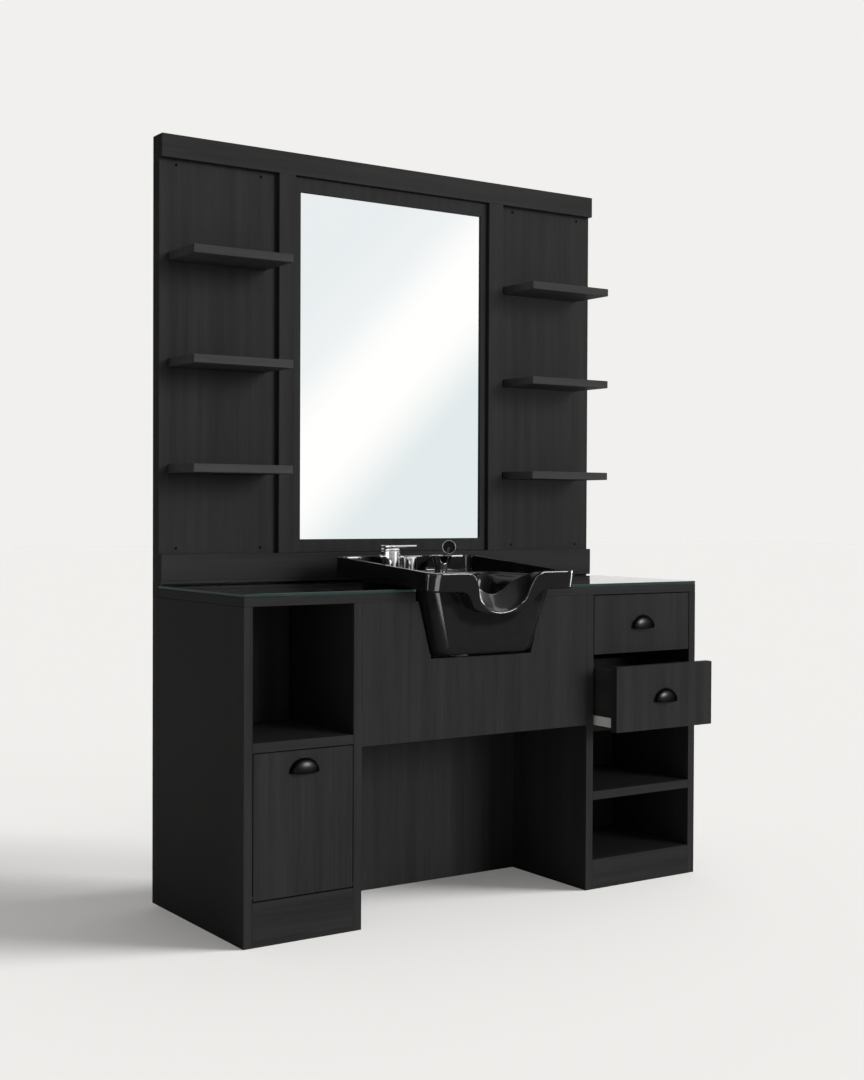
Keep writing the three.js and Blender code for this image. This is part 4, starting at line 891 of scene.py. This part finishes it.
low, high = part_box("mixer_lever")
middle_y, wide = (low.y + high.y) / 2, (high.y - low.y) / 2
hub, tip, lever_arris = low.x + wide, 0.013, 0.0022
fan = [math.radians(a) for a in range(-80, 81, 10)]
lever_plan = [(hub - wide * math.cos(a), -wide * math.sin(a)) for a in fan]
lever_plan += [(high.x - tip + tip * math.cos(a), tip * math.sin(a)) for a in fan]
shape = bmesh.new()
drawn_out(shape, [(x, middle_y + y, low.z) for x, y in lever_plan], (0, 0, high.z - low.z))
rims = [e for e in shape.edges if len(e.link_faces) == 2 and e.calc_face_angle() > math.radians(60)]
bmesh.ops.bevel(shape, geom=rims, offset=lever_arris, segments=4, profile=0.5, affect="EDGES")
for face in shape.faces:
    face.smooth = True
chromed("mixer_handle", finished(shape, "mixer_handle", chrome), "mixer_lever", "mixer_lever")

foot_at, wide, tall = box_foot("hose_outlet")
hose_hole, hose_sink = 0.010, 0.006
outlet_profile = [(0, 0, 0), (wide, 0, 0.001), (wide, tall - 0.003, 0.0015), (wide - 0.003, tall, 0.0015)]
outlet_profile += [(hose_hole, tall, 0.001), (hose_hole, tall - hose_sink, 0.0005), (0, tall - hose_sink, 0)]
outlet = turned_mesh("hose_grommet", outlet_profile, foot_at, chrome)
chromed("hose_grommet", outlet, "station", "hose_outlet")
foot_at, wide, tall = box_foot("sprayer_holder")
cup_floor = 0.003
rest_profile = [(0, 0, 0), (0.017, 0, 0.001), (0.0185, 0.006, 0.004), (wide - 0.001, tall - 0.002, 0.001)]
rest_profile += [(wide, tall, 0.001), (wide - 0.003, tall, 0.001)]
rest_profile += [(0.0145, cup_floor, 0.002), (0, cup_floor, 0)]
rest = turned_mesh("sprayer_rest", rest_profile, foot_at, chrome)
chromed("sprayer_rest", rest, "station", "sprayer_holder")

handle_lean, handle_long, head_radius, head_deep = 0.42, 0.070, 0.020, 0.022
sprayer_foot = foot_at + Vector((0, 0, cup_floor + 0.008 * math.sin(handle_lean) + 0.0003))
leaned = Matrix.Rotation(handle_lean, 4, "Y")
grip_profile = [(0, 0, 0), (0.0078, 0, 0.002), (0.0082, 0.010, 0.004), (0.0086, 0.034, 0.008)]
grip_profile += [(0.0096, 0.058, 0.006), (0.0098, handle_long, 0.001), (0, handle_long, 0)]
grip = turned_mesh("sprayer_grip", grip_profile, sprayer_foot, bin_plastic, leaned)
new_piece("sprayer_grip", grip, "sprayer", "sprayer")
head_at = sprayer_foot + Vector((handle_long * math.sin(handle_lean), 0, handle_long * math.cos(handle_lean)))
facing = Matrix.Rotation(-0.5, 4, "Z") @ Matrix.Rotation(math.pi / 2 - 0.15, 4, "X")
shell_wide, shell_top, head_back = head_radius - 0.0006, 0.0062, -head_deep / 2
shell_profile = [(0, head_back, 0), (0.012, head_back, 0.005), (shell_wide, 0.0045, 0.004)]
shell_profile += [(shell_wide, shell_top, 0.0005), (0, shell_top, 0)]
shell = turned_mesh("sprayer_shell", shell_profile, head_at, bowl_gloss, facing)
new_piece("sprayer_shell", shell, "sprayer")
bezel_in, bezel_foot, bezel_top = 0.0188, 0.0064, 0.0102
bezel_profile = [(bezel_in, bezel_foot, 0.0002), (head_radius, bezel_foot, 0.0005)]
bezel_profile += [(head_radius, 0.0096, 0.0003), (0.0197, bezel_top, 0.0003)]
bezel_profile += [(0.0191, bezel_top, 0.0003), (bezel_in, 0.0098, 0.0003)]
bezel = turned_mesh("sprayer_bezel", bezel_profile, head_at, chrome, facing, closed=True)
sprayer_bezel = new_piece("sprayer_bezel", bezel, "sprayer")
sprayer_bezel.modifiers.new("facing", "WEIGHTED_NORMAL")

rubber_dark, rubber_light = (0.0030, 0.0030, 0.0031), (0.0065, 0.0065, 0.0066)
dull = {"Specular IOR Level": 0.08}
spray_rubber = mottled("spray_rubber", 500, 3, rubber_dark, rubber_light, (0.35, 0.5), plain=dull)
nub_inputs = {"Face Radius": "Float", "Face Depth": "Float", "Nub Radius": "Float", "Ring Gap": "Float"}
nubs, given = growing_tree("spray_nubs", nub_inputs)


def raised(tree, geometry, height):
    """The geometry lifted by a height."""
    up = gives(tree, "ShaderNodeCombineXYZ", {"Z": height})
    return gives(tree, "GeometryNodeTransform", {"Geometry": geometry, "Translation": up})


disc = {"Vertices": 64, "Radius": given["Face Radius"], "Depth": given["Face Depth"]}
face_plate = gives(nubs, "GeometryNodeMeshCylinder", disc)
nub_rings = rings_of_points(nubs, given["Ring Gap"], (6, 12, 18)).outputs[0]
nub_size = {"Vertices": 10, "Radius Top": 0.0003, "Radius Bottom": given["Nub Radius"], "Depth": 0.0012}
nub = gives(nubs, "GeometryNodeMeshCone", nub_size)
on_plate = raised(nubs, nub_rings, maths(nubs, "MULTIPLY", given["Face Depth"], 0.5))
set_nubs = gives(nubs, "GeometryNodeInstanceOnPoints", {"Points": on_plate, "Instance": nub})
real_nubs = gives(nubs, "GeometryNodeRealizeInstances", {"Geometry": set_nubs})
whole_face = add(nubs, "GeometryNodeJoinGeometry")
nubs.links.new(face_plate, whole_face.inputs[0])
nubs.links.new(real_nubs, whole_face.inputs[0])
end_tree(nubs, whole_face.outputs[0], given["Finish"])
nub_values = {"Face Radius": 0.0187, "Face Depth": 0.003, "Nub Radius": 0.0009, "Ring Gap": 0.0052}
face_mesh = grown(
    "sprayer_face", nubs, bpy.data.meshes.new("sprayer_face_blank"), {**nub_values, "Finish": spray_rubber}
)
face_mesh.transform(Matrix.Translation(head_at) @ facing @ Matrix.Translation((0, 0, 0.0078)))
new_piece("sprayer_face", face_mesh, "sprayer")


# Fixings: countersunk cross-head screws, blacked, which hold the bay boards, the backer and the rear panel.
# They stand a hair proud of the boards, four in front in the corners of each bay, and rows of them behind.
screw_inputs = {"Geometry": "Geometry", "Head Radius": "Float", "Head Rise": "Float", "Slot Width": "Float"}
screws, given = growing_tree("cross_head_screws", {**screw_inputs, "Facing": "Rotation"})
head_top = maths(screws, "MULTIPLY", given["Head Radius"], 0.72)
head_size = {"Vertices": 20, "Radius Top": head_top, "Radius Bottom": given["Head Radius"]}
cone = gives(screws, "GeometryNodeMeshCone", {**head_size, "Depth": given["Head Rise"]})
slot_long = maths(screws, "MULTIPLY", given["Head Radius"], 1.1)
cross = add(screws, "GeometryNodeJoinGeometry")
for long, wide in ((slot_long, given["Slot Width"]), (given["Slot Width"], slot_long)):
    size = gives(screws, "ShaderNodeCombineXYZ", {"X": long, "Y": wide, "Z": given["Head Rise"]})
    screws.links.new(gives(screws, "GeometryNodeMeshCube", {"Size": size}), cross.inputs[0])
cutting = {"Mesh 1": cone, "Mesh 2": raised(screws, cross.outputs[0], given["Head Rise"])}
screw_head = gives(screws, "GeometryNodeMeshBoolean", cutting, operation="DIFFERENCE")
setting = {"Points": given["Geometry"], "Instance": screw_head, "Rotation": given["Facing"]}
end_tree(screws, gives(screws, "GeometryNodeInstanceOnPoints", setting), given["Finish"])


def screw_set(name, places, facing, radius):
    """Screws at these places on one flat face, in one mesh."""
    points = bpy.data.meshes.new(name + "_places")
    points.from_pydata([tuple(place) for place in places], [], [])
    values = {"Head Radius": radius, "Head Rise": 0.0012, "Slot Width": radius * 0.3}
    values |= {"Facing": facing, "Finish": black_metal}
    return new_piece(name, grown(name, screws, points, values), "station")


bay_low, rail_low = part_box("left_bay_panel")[0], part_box("top_rail")[0]
ahead_face, behind_face = (math.pi / 2, 0, 0), (-math.pi / 2, 0, 0)
bay_columns, bay_rows = (0.449, 0.711), (sill_high.z + 0.016, rail_low.z - 0.015)
front_places = [(side * x, bay_low.y, z) for side in (-1, 1) for x in bay_columns for z in bay_rows]
screw_set("bay_screws", front_places, ahead_face, 0.0042)
panel_low, panel_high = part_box("rear_access_panel")
backer_low, backer_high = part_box("mirror_backer")
back, in_from_side, in_from_end, backer_margin = panel_high.y, 0.018, 0.03, 0.04
panel_sides = (panel_low.x + in_from_side, panel_high.x - in_from_side)
panel_ends = (in_from_end, panel_high.z - in_from_end)
backer_sides = (backer_low.x + in_from_side, backer_high.x - in_from_side)
backer_rows = np.linspace(backer_low.z + backer_margin, backer_high.z - backer_margin, 6)
middle_columns = np.linspace(-0.18, 0.18, 3)
back_places = [(x, back, z) for x in panel_sides for z in np.linspace(*panel_ends, 5)]
back_places += [(x, back, z) for x in middle_columns for z in panel_ends]
back_places += [(x, back, z) for x in backer_sides for z in backer_rows]
back_places += [(x, back, backer_high.z - backer_margin) for x in middle_columns]
screw_set("back_screws", back_places, behind_face, 0.0048)
